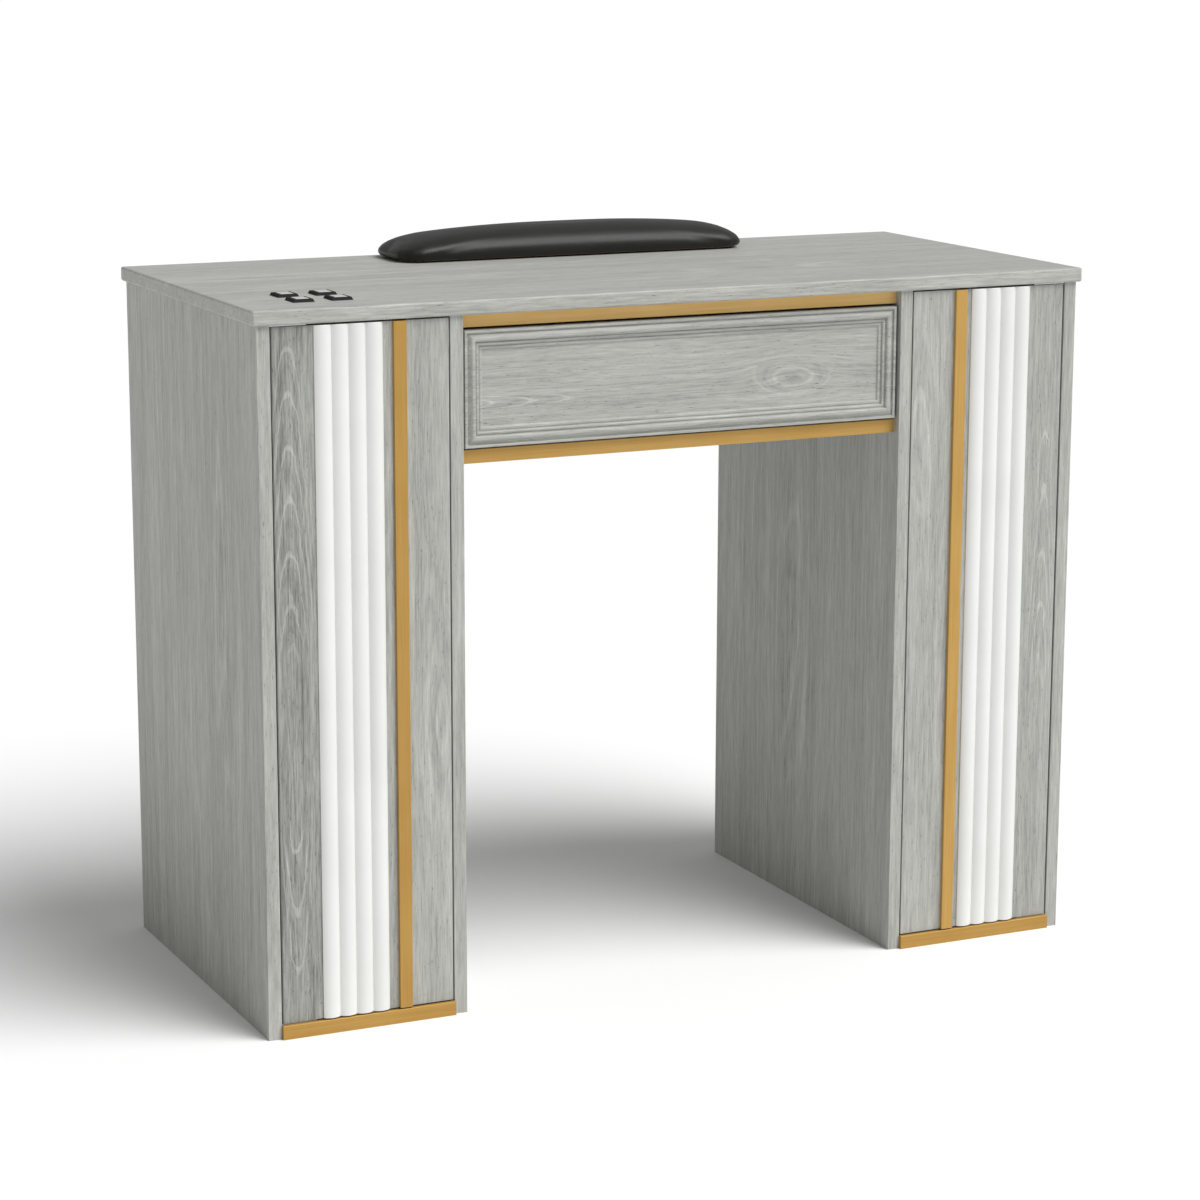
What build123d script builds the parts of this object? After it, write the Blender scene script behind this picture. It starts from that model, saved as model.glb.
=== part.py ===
from build123d import *
import os

# Manicure table: two cabinets with pivot-hung doors, a drawer on ball-bearing slides between
# them, a worktop with a wrist rest and four push switches.
# Millimetres. X runs across the table, Y from the drawer side (front) to the client side
# (back), Z up. The origin is on the floor under the centre of the worktop.

# ---- overall sizes
TOP_WIDTH = 1000.0
TOP_DEPTH = 455.0
TOP_THICK = 16.0
TABLE_HEIGHT = 785.0
SIDE_OVERHANG = 5.0
FRONT_OVERHANG = 5.0
REAR_OVERHANG = 5.0
TOP_ROUND = 2.5

# ---- cabinets
BOARD = 15.0
CABINET_WIDTH = 230.0
EDGE_ROUND = 0.6
BACK_THICK = 3.0
BACK_INSET = 10.0
GROOVE_DEPTH = 5.0
SHELF_HEIGHT = 380.0
SHELF_SETBACK = 30.0
SHELF_SIDE_GAP = 0.5
PIN_RADIUS = 2.5
PIN_DEPTH = 10.0
PIN_SHELF_LENGTH = 9.0
PIN_ROW_STEP = 32.0
PIN_FRONT_OFFSET = 60.0
PIN_BACK_OFFSET = 60.0
KICK_HEIGHT = 15.5
KICK_THICK = 4.5
KICK_ROUND = 1.0
CABLE_NOTCH_WIDTH = 40.0
CABLE_NOTCH_HEIGHT = 15.0

# ---- doors
DOOR_GAP = 1.5
DOOR_END_GAP = 2.0
DOOR_EDGE_ROUND = 2.0
SWING_CLEAR = 0.5
PIVOT_DEPTH = 6.0
PIVOT_PIN_RADIUS = 2.0
PIVOT_PIN_LENGTH = 12.0
PIVOT_PIN_PLAY = 0.05
PIVOT_BORE_SPARE = 1.0
LEAF_THICK = 1.5
LEAF_WIDTH = 9.0
LEAF_LENGTH = 40.0
LEAF_PIN_INSET = 8.0
SHOULDER_RADIUS = 4.0
SHOULDER_GAP = 0.1
SPIGOT_RADIUS = 2.5
SPIGOT_LENGTH = 9.0
SPIGOT_START = 12.0
LEAF_HOLE_STEP = 10.0
PIVOT_SCREW_START = 24.8
FLUTE_OFFSET = 62.5
FLUTE_COUNT = 4
FLUTE_PITCH = 19.0
FLUTE_BASE = 1.2
FLUTE_RISE = 3.6
STRIP_OFFSET = 150.0
RIGHT_STRIP_OFFSET = 146.0
STRIP_WIDTH = 14.5
STRIP_THICK = 4.0
STRIP_ROUND = 0.6

# ---- drawer bay between the cabinets
BAY_HEIGHT = 131.0
RAIL_DEPTH = 80.0
RAIL_RECESS = 13.0
RAIL_TRIM_THICK = 2.0
RAIL_TRIM_ROUND = 0.5

# ---- drawer
DRAWER_GAP = 2.5
DRAWER_SIDE_GAP = 3.2
DRAWER_FRONT_RECESS = 2.5
DRAWER_FRONT_THICK = 18.0
MOULD_WIDTH = 23.4
MOULD_SINK = 7.0
DRAWER_BOARD = 12.0
DRAWER_BOX_HEIGHT = 100.0
DRAWER_BOX_DEPTH = 340.0
DRAWER_BOX_LIFT = 7.0
DRAWER_BOTTOM_THICK = 5.0
DRAWER_BOTTOM_LIFT = 8.0
DRAWER_GROOVE = 5.0
DRAWER_EDGE_ROUND = 1.0
FRONT_SCREW_INSET = 76.0
FRONT_SCREW_RISE = 25.0
CORNER_SCREW_INSET = 12.0

# ---- ball-bearing slides, measured from the cabinet wall towards the drawer
SLIDE_LENGTH = 350.0
SLIDE_SETBACK = 2.0
SLIDE_SCREW_INSET = 42.0
SLIDE_DEPTH = 12.7
SLIDE_STEEL = 1.2
SLIDE_HEIGHT = 45.0
BALL_RADIUS = 1.6
BALL_PLAY = 0.05
BALL_STEP = 26.0
BALLS_PER_ROW = 6
BALL_END_GAP = 15.0
MIDDLE_START = 2.8
MIDDLE_END = 9.8
INNER_START = 5.6
OUTER_END = 10.0
LIP_HEIGHT = 1.4
LIP_CLEAR = 0.15

# ---- push latches
LATCH_WIDTH = 14.0
LATCH_HEIGHT = 20.0
LATCH_LENGTH = 42.0
LATCH_END_WALL = 6.0
LATCH_DROP = 20.0
LATCH_ROUND = 2.0
LATCH_EAR = 12.0
LATCH_SCREW_SPREAD = 13.0
LATCH_SCREW_RISE = 6.0
PLUNGER_RADIUS = 4.0
PLUNGER_PLAY = 0.3
PLUNGER_REACH = 10.0
PLUNGER_TRAVEL = 3.0
PLUNGER_REST_GAP = 0.3
PLUNGER_NOSE = 1.5
STRIKE_RADIUS = 6.5
STRIKE_THICK = 1.0

# ---- fasteners
CAM_RADIUS = 7.5
CAM_DEPTH = 12.5
CAM_SETBACK = 24.0
CAM_SLOT_DEPTH = 1.5
CAM_SLOT_WIDTH = 1.4
CAM_SLOT_LENGTH = 8.0
CAM_BOLT_RADIUS = 3.0
CAM_NECK_RADIUS = 2.0
CAM_COLLAR = 6.0
CAM_HEAD = 3.0
CAM_BOLT_BORE = 3.5
CAM_THREAD_RADIUS = 2.5
CAM_THREAD_LENGTH = 9.0
CAM_SPREAD = 40.0
SCREW_RADIUS = 1.6
SCREW_HEAD_RADIUS = 3.2
SCREW_HEAD_HEIGHT = 1.1
SHORT_SCREW = 10.0
LATCH_SCREW_BITE = 10.0
DRAWER_SCREW_LENGTH = 25.0
FRONT_SCREW_LENGTH = 22.0

# ---- wrist rest
REST_LENGTH = 450.0
REST_DEPTH = 110.0
REST_HEIGHT = 36.0
REST_CENTRE_X = 25.5
REST_BACK_MARGIN = 4.0
REST_FOOT_HEIGHT = 2.0
REST_FOOT_RADIUS = 7.0
REST_BASE_THICK = 9.0
REST_BASE_INSET = 8.0
REST_CORNER = 30.0
REST_DOME = 26.0
REST_SCREW_SPAN = 300.0
REST_SCREW_SPARE = 2.0
REST_FOOT_INSET_X = 24.0
REST_FOOT_INSET_Y = 20.0

# ---- switches
SWITCH_PITCH_X = 43.0
SWITCH_PITCH_Y = 47.5
SWITCH_SIDE_MARGIN = 75.0
SWITCH_FRONT_MARGIN = 65.0
BEZEL_WIDTH = 24.0
BEZEL_DEPTH = 27.0
BEZEL_HEIGHT = 3.2
BEZEL_SLOPE = 3.0
SWITCH_BODY_WIDTH = 19.0
SWITCH_BODY_DEPTH = 22.0
SWITCH_BODY_DROP = 30.0
SWITCH_CUT_PLAY = 0.3
CAP_WIDTH = 14.0
CAP_DEPTH = 17.0
CAP_PLAY = 0.3
CAP_LENGTH = 9.0
CAP_TRAVEL = 2.0
CAP_FLOOR_SPARE = 1.0
CAP_PROUD = 0.4
CAP_ROUND = 0.5
COVER_WALL = 2.0
COVER_DEPTH = 26.0
COVER_MARGIN = 10.0
COVER_FLANGE = 9.0
COVER_CORNER = 3.0
COVER_OUTLET_RADIUS = 6.0
COVER_OUTLET_OFFSET = 20.0

# ---- places that follow from the sizes
TOP_UNDERSIDE = TABLE_HEIGHT - TOP_THICK
FRONT_Y = -TOP_DEPTH / 2 + FRONT_OVERHANG
BACK_Y = TOP_DEPTH / 2 - REAR_OVERHANG
OUTER_X = TOP_WIDTH / 2 - SIDE_OVERHANG
OUTER_INNER_X = OUTER_X - BOARD
INNER_X = OUTER_X - CABINET_WIDTH
INNER_INNER_X = INNER_X + BOARD
BACK_PANEL_Y = BACK_Y - BACK_INSET - BACK_THICK
DOOR_LOW_Z = BOARD + DOOR_END_GAP
DOOR_HIGH_Z = TOP_UNDERSIDE - DOOR_END_GAP
DOOR_BACK_Y = FRONT_Y + BOARD
PIVOT_Y = FRONT_Y + PIVOT_DEPTH
SWING_SLACK = DOOR_GAP - SWING_CLEAR
PIVOT_SETBACK = (
    DOOR_GAP + DOOR_EDGE_ROUND
    + ((PIVOT_DEPTH - DOOR_EDGE_ROUND) ** 2 - SWING_SLACK ** 2) / (2 * SWING_SLACK)
)
PIVOT_X = OUTER_INNER_X - PIVOT_SETBACK
FLUTE_WIDTH = FLUTE_COUNT * FLUTE_PITCH
UPPER_RAIL_Z = TOP_UNDERSIDE - BOARD
BAY_FLOOR_Z = UPPER_RAIL_Z - BAY_HEIGHT
RAIL_FRONT_Y = FRONT_Y + RAIL_RECESS
REAR_RAIL_Y = BACK_Y - BOARD
DRAWER_FRONT_Y = FRONT_Y + DRAWER_FRONT_RECESS
DRAWER_BOX_Y = DRAWER_FRONT_Y + DRAWER_FRONT_THICK
DRAWER_BACK_Y = DRAWER_BOX_Y + DRAWER_BOX_DEPTH
DRAWER_BOX_Z = BAY_FLOOR_Z + DRAWER_GAP + DRAWER_BOX_LIFT
DRAWER_BOX_TOP = DRAWER_BOX_Z + DRAWER_BOX_HEIGHT
DRAWER_HALF = INNER_X - SLIDE_DEPTH
DRAWER_BOTTOM_Z = DRAWER_BOX_Z + DRAWER_BOTTOM_LIFT
SLIDE_Z = (DRAWER_BOX_Z + DRAWER_BOX_TOP) / 2
SLIDE_Y = DRAWER_BOX_Y + SLIDE_SETBACK
OUTER_RACE = SLIDE_HEIGHT / 2 - SLIDE_STEEL
BALL_SPACE = 2 * (BALL_RADIUS + BALL_PLAY)
MIDDLE_HALF = OUTER_RACE - BALL_SPACE
INNER_HALF = MIDDLE_HALF - SLIDE_STEEL - BALL_SPACE
OUTER_BALL_DEPTH = OUTER_END - SLIDE_STEEL - BALL_RADIUS - LIP_CLEAR
INNER_BALL_DEPTH = MIDDLE_END - SLIDE_STEEL - BALL_RADIUS - LIP_CLEAR
REST_CENTRE_Y = TOP_DEPTH / 2 - REST_BACK_MARGIN - REST_DEPTH / 2
REST_BASE_Z = TABLE_HEIGHT + REST_FOOT_HEIGHT
REST_SCREW_LENGTH = TOP_THICK + REST_FOOT_HEIGHT + REST_BASE_THICK - REST_SCREW_SPARE
LATCH_DOOR_Z = UPPER_RAIL_Z - LATCH_HEIGHT / 2 - LATCH_DROP


# ---- small helpers
def block(x_low, x_high, y_low, y_high, z_low, z_high):
    """A box between two corners."""
    centre = Pos((x_low + x_high) / 2, (y_low + y_high) / 2, (z_low + z_high) / 2)
    return centre * Box(x_high - x_low, y_high - y_low, z_high - z_low)


def rod(plane, radius, start, end):
    """A cylinder along a plane's normal, from start to end."""
    return plane * Pos(0, 0, (start + end) / 2) * Cylinder(radius, end - start)


def softened(part, axis, radius):
    """The part with its edges along one axis rounded."""
    return fillet(part.edges().filter_by(axis), radius)


def mirrored(part):
    """The same piece for the right-hand side."""
    return mirror(part, about=Plane.YZ)


def together(pieces):
    """Separate solids kept in one node."""
    return Compound(children=[solid for piece in pieces for solid in piece.solids()])


# ---- cam fasteners: a bolt in one board is drawn in by a disc in the other
def cam_plane(place, into, face):
    """Z runs into the board that holds the disc, X points out of the face it is fitted from."""
    return Plane(origin=place, x_dir=face, z_dir=into)


def cam_disc_blank(plane):
    disc = Pos(BOARD / 2 - CAM_DEPTH / 2, 0, CAM_SETBACK) * Rot(0, 90, 0) * Cylinder(CAM_RADIUS, CAM_DEPTH)
    return plane * disc


def cam_disc(plane):
    throat = rod(plane, CAM_BOLT_BORE, CAM_SETBACK - 2 * CAM_RADIUS, CAM_SETBACK + CAM_RADIUS / 3)
    face = plane * Pos(BOARD / 2, 0, CAM_SETBACK)
    slot = face * Box(2 * CAM_SLOT_DEPTH, CAM_SLOT_WIDTH, CAM_SLOT_LENGTH)
    cross = face * Box(2 * CAM_SLOT_DEPTH, CAM_SLOT_LENGTH, CAM_SLOT_WIDTH)
    return cam_disc_blank(plane) - throat - slot - cross


def cam_bolt(plane):
    thread = rod(plane, CAM_THREAD_RADIUS, -CAM_THREAD_LENGTH, 0)
    neck = rod(plane, CAM_NECK_RADIUS, 0, CAM_SETBACK)
    collar = rod(plane, CAM_BOLT_RADIUS, 0, CAM_COLLAR)
    head = rod(plane, CAM_BOLT_RADIUS, CAM_SETBACK - CAM_HEAD, CAM_SETBACK)
    return thread + neck + collar + head


def cam_board_cut(plane):
    return cam_disc_blank(plane) + rod(plane, CAM_BOLT_BORE, 0, CAM_SETBACK)


def cam_thread_cut(plane):
    return rod(plane, CAM_THREAD_RADIUS, -CAM_THREAD_LENGTH, 0)


def side_cams(x_mid, face_x):
    """Two cams that draw a side board up to the worktop."""
    ends = (FRONT_Y + CAM_SPREAD, BACK_PANEL_Y - CAM_SPREAD)
    return [cam_plane((x_mid, y, TOP_UNDERSIDE), (0, 0, -1), (face_x, 0, 0)) for y in ends]


def bottom_cams(x_face, into_x):
    """Two cams that draw a bottom board up to a side board."""
    ends = (FRONT_Y + CAM_SPREAD, BACK_PANEL_Y - CAM_SPREAD)
    return [cam_plane((x_face, y, BOARD / 2), (into_x, 0, 0), (0, 0, -1)) for y in ends]


def front_rail_cams(x_side, z_mid, face_z):
    """Two cams at one end of a front rail."""
    middle = RAIL_FRONT_Y + RAIL_DEPTH / 2
    places = (middle - RAIL_DEPTH / 4, middle + RAIL_DEPTH / 4)
    return [cam_plane((x_side * INNER_X, y, z_mid), (-x_side, 0, 0), (0, 0, face_z)) for y in places]


def rear_rail_cams(x_side):
    """Two cams at one end of the rear rail."""
    heights = (BAY_FLOOR_Z + CAM_SPREAD / 2, TOP_UNDERSIDE - CAM_SPREAD / 2)
    y_mid = REAR_RAIL_Y + BOARD / 2
    return [cam_plane((x_side * INNER_X, y_mid, z), (-x_side, 0, 0), (0, -1, 0)) for z in heights]


OUTER_TOP_CAMS = side_cams(-OUTER_X + BOARD / 2, 1)
INNER_TOP_CAMS = side_cams(-INNER_X - BOARD / 2, -1)
OUTER_BOTTOM_CAMS = bottom_cams(-OUTER_INNER_X, 1)
INNER_BOTTOM_CAMS = bottom_cams(-INNER_INNER_X, -1)
UPPER_RAIL_CAMS = front_rail_cams(-1, UPPER_RAIL_Z + BOARD / 2, -1)
LOWER_RAIL_CAMS = front_rail_cams(-1, BAY_FLOOR_Z - BOARD / 2, 1)
REAR_RAIL_CAMS = rear_rail_cams(-1)
BAY_CAMS = UPPER_RAIL_CAMS + LOWER_RAIL_CAMS + REAR_RAIL_CAMS
LEFT_CAMS = OUTER_TOP_CAMS + INNER_TOP_CAMS + OUTER_BOTTOM_CAMS + INNER_BOTTOM_CAMS + BAY_CAMS


def both_sides(pieces):
    return pieces + [mirrored(piece) for piece in pieces]


def cam_bolts():
    return together(both_sides([cam_bolt(plane) for plane in LEFT_CAMS]))


def cam_discs():
    return together(both_sides([cam_disc(plane) for plane in LEFT_CAMS]))


# ---- wood screws: a flush head on a face, the shank behind it
def screw(plane, length):
    """Z of the plane points out of the head."""
    return rod(plane, SCREW_HEAD_RADIUS, 0, SCREW_HEAD_HEIGHT) + rod(plane, SCREW_RADIUS, -length, 0)


def screw_cut(plane, length):
    return rod(plane, SCREW_RADIUS, -length, 0)


def slide_screw_ys():
    spots = (SLIDE_SCREW_INSET, SLIDE_LENGTH / 2, SLIDE_LENGTH - SLIDE_SCREW_INSET)
    return [SLIDE_Y + spot for spot in spots]


def cabinet_slide_screws():
    """Left slide to the left inner side board; the heads face the drawer."""
    x = -INNER_X + SLIDE_STEEL
    return [Plane(origin=(x, y, SLIDE_Z), z_dir=(1, 0, 0)) for y in slide_screw_ys()]


def drawer_slide_screws():
    """Left slide to the left drawer side; the heads face the cabinet."""
    x = -DRAWER_HALF - SLIDE_STEEL
    return [Plane(origin=(x, y, SLIDE_Z), z_dir=(-1, 0, 0)) for y in slide_screw_ys()]


def pivot_screws(z, up):
    """Two screws through a cabinet pivot leaf, seen on the left side."""
    start = -OUTER_INNER_X + PIVOT_SCREW_START
    xs = (start, start + LEAF_HOLE_STEP)
    return [Plane(origin=(x, PIVOT_Y, z), z_dir=(0, 0, up)) for x in xs]


def latch_screws():
    """Left door latch: two screws through its side wall into the inner side board."""
    x = -INNER_INNER_X - LATCH_WIDTH
    y = latch_front_y() + LATCH_LENGTH / 2
    ys = (y - LATCH_SCREW_SPREAD, y + LATCH_SCREW_SPREAD)
    z = LATCH_DOOR_Z + LATCH_SCREW_RISE
    return [Plane(origin=(x, y_screw, z), z_dir=(-1, 0, 0)) for y_screw in ys]


def rest_screws():
    """Two long screws up through the worktop into the wrist rest's base board."""
    spots = [REST_CENTRE_X + s * REST_SCREW_SPAN / 2 for s in (-1, 1)]
    return [Plane(origin=(x, REST_CENTRE_Y, TOP_UNDERSIDE), z_dir=(0, 0, -1)) for x in spots]


def cover_screws():
    low, high = cover_bounds()
    x_mid = (low[0] + high[0]) / 2
    z = TOP_UNDERSIDE - COVER_WALL
    spots = (low[1] - COVER_FLANGE / 2, high[1] + COVER_FLANGE / 2)
    return [Plane(origin=(x_mid, y, z), z_dir=(0, 0, -1)) for y in spots]


def wood_screws():
    leaf_low = [screw(p, SHORT_SCREW) for p in pivot_screws(BOARD + LEAF_THICK - SCREW_HEAD_HEIGHT, 1)]
    leaf_high = [
        screw(p, SHORT_SCREW)
        for p in pivot_screws(TOP_UNDERSIDE - LEAF_THICK + SCREW_HEAD_HEIGHT, -1)
    ]
    slides = [screw(p, SLIDE_STEEL + SHORT_SCREW) for p in cabinet_slide_screws()]
    latches = [screw(p, LATCH_WIDTH + LATCH_SCREW_BITE) for p in latch_screws()]
    rest = [screw(p, REST_SCREW_LENGTH) for p in rest_screws()]
    cover = [screw(p, COVER_WALL + SHORT_SCREW) for p in cover_screws()]
    latch = [screw(p, LATCH_WIDTH + LATCH_SCREW_BITE) for p in drawer_latch_screws()]
    return together(both_sides(leaf_low + leaf_high + slides + latches) + rest + cover + latch)


# ---- worktop
def worktop():
    body = block(-TOP_WIDTH / 2, TOP_WIDTH / 2, -TOP_DEPTH / 2, TOP_DEPTH / 2, TOP_UNDERSIDE, TABLE_HEIGHT)
    body = fillet(body.edges(), TOP_ROUND)
    cuts = [cam_thread_cut(plane) for plane in OUTER_TOP_CAMS + INNER_TOP_CAMS]
    cuts += [screw_cut(p, SHORT_SCREW) for p in pivot_screws(TOP_UNDERSIDE, -1)]
    body = body - both_sides(cuts)
    body = body - [screw_cut(p, TOP_THICK) for p in rest_screws()]
    body = body - [screw_cut(p, SHORT_SCREW + COVER_WALL) for p in cover_screws()]
    half_x = SWITCH_BODY_WIDTH / 2 + SWITCH_CUT_PLAY
    half_y = SWITCH_BODY_DEPTH / 2 + SWITCH_CUT_PLAY
    openings = [
        block(x - half_x, x + half_x, y - half_y, y + half_y, TOP_UNDERSIDE - 1, TABLE_HEIGHT + 1)
        for x, y in switch_places()
    ]
    return body - openings


# ---- cabinet boards, written for the left side
def pin_places(x_face, into_x):
    """Rows of shelf-pin holes in one board; Z of each plane points out of the hole."""
    low_z = SHELF_HEIGHT - PIN_RADIUS
    ys = (FRONT_Y + SHELF_SETBACK + PIN_FRONT_OFFSET, BACK_PANEL_Y - PIN_BACK_OFFSET)
    rows = (-2, -1, 0, 1, 2)
    return [
        Plane(origin=(x_face, y, low_z + row * PIN_ROW_STEP), z_dir=(-into_x, 0, 0))
        for y in ys
        for row in rows
    ]


def board_front_rounded(body, radius):
    front = body.edges().filter_by(Axis.Z).group_by(Axis.Y)[0]
    return fillet(front, radius)


def back_groove():
    return block(
        -OUTER_INNER_X - GROOVE_DEPTH, -INNER_INNER_X + GROOVE_DEPTH,
        BACK_PANEL_Y, BACK_PANEL_Y + BACK_THICK,
        BOARD - GROOVE_DEPTH, TOP_UNDERSIDE,
    )


def outer_side():
    body = block(-OUTER_X, -OUTER_INNER_X, FRONT_Y, BACK_Y, 0, TOP_UNDERSIDE)
    body = board_front_rounded(body, EDGE_ROUND) - back_groove()
    cuts = [cam_board_cut(plane) for plane in OUTER_TOP_CAMS]
    cuts += [cam_thread_cut(plane) for plane in OUTER_BOTTOM_CAMS]
    cuts += [rod(plane, PIN_RADIUS, -PIN_DEPTH, 0) for plane in pin_places(-OUTER_INNER_X, -1)]
    return body - cuts


def inner_side():
    body = block(-INNER_INNER_X, -INNER_X, FRONT_Y, BACK_Y, 0, TOP_UNDERSIDE)
    body = board_front_rounded(body, EDGE_ROUND) - back_groove()
    cuts = [cam_board_cut(plane) for plane in INNER_TOP_CAMS]
    cuts += [cam_thread_cut(plane) for plane in INNER_BOTTOM_CAMS]
    cuts += [rod(plane, PIN_RADIUS, -PIN_DEPTH, 0) for plane in pin_places(-INNER_INNER_X, 1)]
    body = body - cuts
    bay_cuts = [cam_thread_cut(plane) for plane in BAY_CAMS]
    bay_cuts += [screw_cut(p, SLIDE_STEEL + SHORT_SCREW) for p in cabinet_slide_screws()]
    bay_cuts += [screw_cut(p, LATCH_WIDTH + LATCH_SCREW_BITE) for p in latch_screws()]
    return body - bay_cuts


def bottom_board():
    body = block(-OUTER_INNER_X, -INNER_INNER_X, FRONT_Y, BACK_Y, 0, BOARD) - back_groove()
    body = body - [cam_board_cut(plane) for plane in OUTER_BOTTOM_CAMS + INNER_BOTTOM_CAMS]
    return body - [screw_cut(p, SHORT_SCREW + LEAF_THICK) for p in pivot_screws(BOARD, 1)]


def back_panel():
    return back_groove()


def notched_back_panel():
    """The left back panel has a notch at its top for a lead."""
    middle = -(OUTER_INNER_X + INNER_INNER_X) / 2
    notch = block(
        middle - CABLE_NOTCH_WIDTH / 2, middle + CABLE_NOTCH_WIDTH / 2,
        BACK_PANEL_Y - 1, BACK_PANEL_Y + BACK_THICK + 1,
        TOP_UNDERSIDE - CABLE_NOTCH_HEIGHT, TOP_UNDERSIDE + 1,
    )
    return back_panel() - notch


def shelf():
    body = block(
        -OUTER_INNER_X + SHELF_SIDE_GAP, -INNER_INNER_X - SHELF_SIDE_GAP,
        FRONT_Y + SHELF_SETBACK, BACK_PANEL_Y - SHELF_SIDE_GAP,
        SHELF_HEIGHT, SHELF_HEIGHT + BOARD,
    )
    return softened(body, Axis.X, EDGE_ROUND)


def shelf_pin(plane):
    """A pin in its hole, with the flat-topped stub that the shelf lies on."""
    return rod(plane, PIN_RADIUS, -PIN_DEPTH, PIN_SHELF_LENGTH)


def shelf_pins():
    wanted = []
    for places in (pin_places(-OUTER_INNER_X, -1), pin_places(-INNER_INNER_X, 1)):
        wanted += [plane for plane in places if abs(plane.origin.Z - SHELF_HEIGHT + PIN_RADIUS) < 0.01]
    return together(both_sides([shelf_pin(plane) for plane in wanted]))


def kick_trim():
    body = block(-OUTER_INNER_X, -INNER_INNER_X, FRONT_Y - KICK_THICK, FRONT_Y, 0, KICK_HEIGHT)
    top_front = body.edges().filter_by(Axis.X).group_by(Axis.Y)[0].sort_by(Axis.Z)[-1]
    return fillet(top_front, KICK_ROUND)


# ---- rails between the cabinets
def front_rail(z_low, cams):
    body = block(-INNER_X, INNER_X, RAIL_FRONT_Y, RAIL_FRONT_Y + RAIL_DEPTH, z_low, z_low + BOARD)
    return body - both_sides([cam_board_cut(plane) for plane in cams])


def rail_trim(z_low):
    body = block(-INNER_X, INNER_X, RAIL_FRONT_Y - RAIL_TRIM_THICK, RAIL_FRONT_Y, z_low, z_low + BOARD)
    return fillet(body.edges().filter_by(Axis.X).group_by(Axis.Y)[0], RAIL_TRIM_ROUND)


def rear_rail():
    body = block(-INNER_X, INNER_X, REAR_RAIL_Y, BACK_Y, BAY_FLOOR_Z - BOARD, TOP_UNDERSIDE)
    body = body - both_sides([cam_board_cut(plane) for plane in REAR_RAIL_CAMS])
    return body - [screw_cut(p, LATCH_WIDTH + LATCH_SCREW_BITE) for p in drawer_latch_screws()]


# ---- doors, written for the left side
def door_x_range():
    return -OUTER_INNER_X + DOOR_GAP, -INNER_INNER_X - DOOR_GAP


def pivot_plane(z, up):
    return Plane(origin=(-PIVOT_X, PIVOT_Y, z), z_dir=(0, 0, up))


def leaf_block(x_low, z_low):
    return block(
        x_low, x_low + LEAF_LENGTH,
        PIVOT_Y - LEAF_WIDTH / 2, PIVOT_Y + LEAF_WIDTH / 2,
        z_low, z_low + LEAF_THICK,
    )


def door_leaf_spigots(z, up):
    start = -PIVOT_X + SPIGOT_START
    xs = (start, start + LEAF_HOLE_STEP)
    planes = [Plane(origin=(x, PIVOT_Y, z), z_dir=(0, 0, up)) for x in xs]
    return [rod(plane, SPIGOT_RADIUS, 0, SPIGOT_LENGTH) for plane in planes]


def door_leaf(low):
    """The pivot leaf let into one end of the door, held by two press-in spigots."""
    z = DOOR_LOW_Z if low else DOOR_HIGH_Z - LEAF_THICK
    up = 1 if low else -1
    inner_z = DOOR_LOW_Z + LEAF_THICK if low else DOOR_HIGH_Z - LEAF_THICK
    plate = leaf_block(-PIVOT_X - LEAF_PIN_INSET, z)
    for spigot in door_leaf_spigots(inner_z, up):
        plate = plate + spigot
    return plate - rod(pivot_plane(z, 1), PIVOT_PIN_RADIUS + PIVOT_PIN_PLAY, -1, LEAF_THICK + 1)


def door_leaves():
    return together([door_leaf(True), door_leaf(False)])


def cabinet_leaf(low):
    """The pivot leaf screwed to the cabinet, with a shoulder that carries the door and a pin."""
    base = BOARD if low else TOP_UNDERSIDE
    up = 1 if low else -1
    z_low = BOARD if low else TOP_UNDERSIDE - LEAF_THICK
    plate = leaf_block(-OUTER_INNER_X, z_low)
    shoulder = rod(pivot_plane(base, up), SHOULDER_RADIUS, 0, DOOR_END_GAP - SHOULDER_GAP)
    pin = rod(pivot_plane(base, up), PIVOT_PIN_RADIUS, 0, DOOR_END_GAP + PIVOT_PIN_LENGTH)
    head_top = base + up * LEAF_THICK
    heads = [rod(p, SCREW_HEAD_RADIUS, -SCREW_HEAD_HEIGHT, 1) for p in pivot_screws(head_top, up)]
    shanks = [screw_cut(p, 2 * LEAF_THICK) for p in pivot_screws(head_top, up)]
    return plate + shoulder + pin - heads - shanks


def cabinet_pivot_plates():
    return together(both_sides([cabinet_leaf(True), cabinet_leaf(False)]))


def door():
    x_low, x_high = door_x_range()
    body = block(x_low, x_high, FRONT_Y, DOOR_BACK_Y, DOOR_LOW_Z, DOOR_HIGH_Z)
    fronts = body.edges().filter_by(Axis.Z).group_by(Axis.Y)[0]
    body = fillet(fronts.sort_by(Axis.X)[0], DOOR_EDGE_ROUND)
    free_edge = body.edges().filter_by(Axis.Z).group_by(Axis.Y)[0].sort_by(Axis.X)[-1]
    body = fillet(free_edge, EDGE_ROUND)
    bore = PIVOT_PIN_RADIUS + PIVOT_PIN_PLAY
    reach = PIVOT_PIN_LENGTH + PIVOT_BORE_SPARE
    cuts = [
        leaf_block(-PIVOT_X - LEAF_PIN_INSET, DOOR_LOW_Z),
        leaf_block(-PIVOT_X - LEAF_PIN_INSET, DOOR_HIGH_Z - LEAF_THICK),
        rod(pivot_plane(DOOR_LOW_Z, 1), bore, 0, reach),
        rod(pivot_plane(DOOR_HIGH_Z, -1), bore, 0, reach),
        strike_spigot(),
    ]
    cuts += door_leaf_spigots(DOOR_LOW_Z + LEAF_THICK, 1)
    cuts += door_leaf_spigots(DOOR_HIGH_Z - LEAF_THICK, -1)
    return body - cuts


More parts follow.
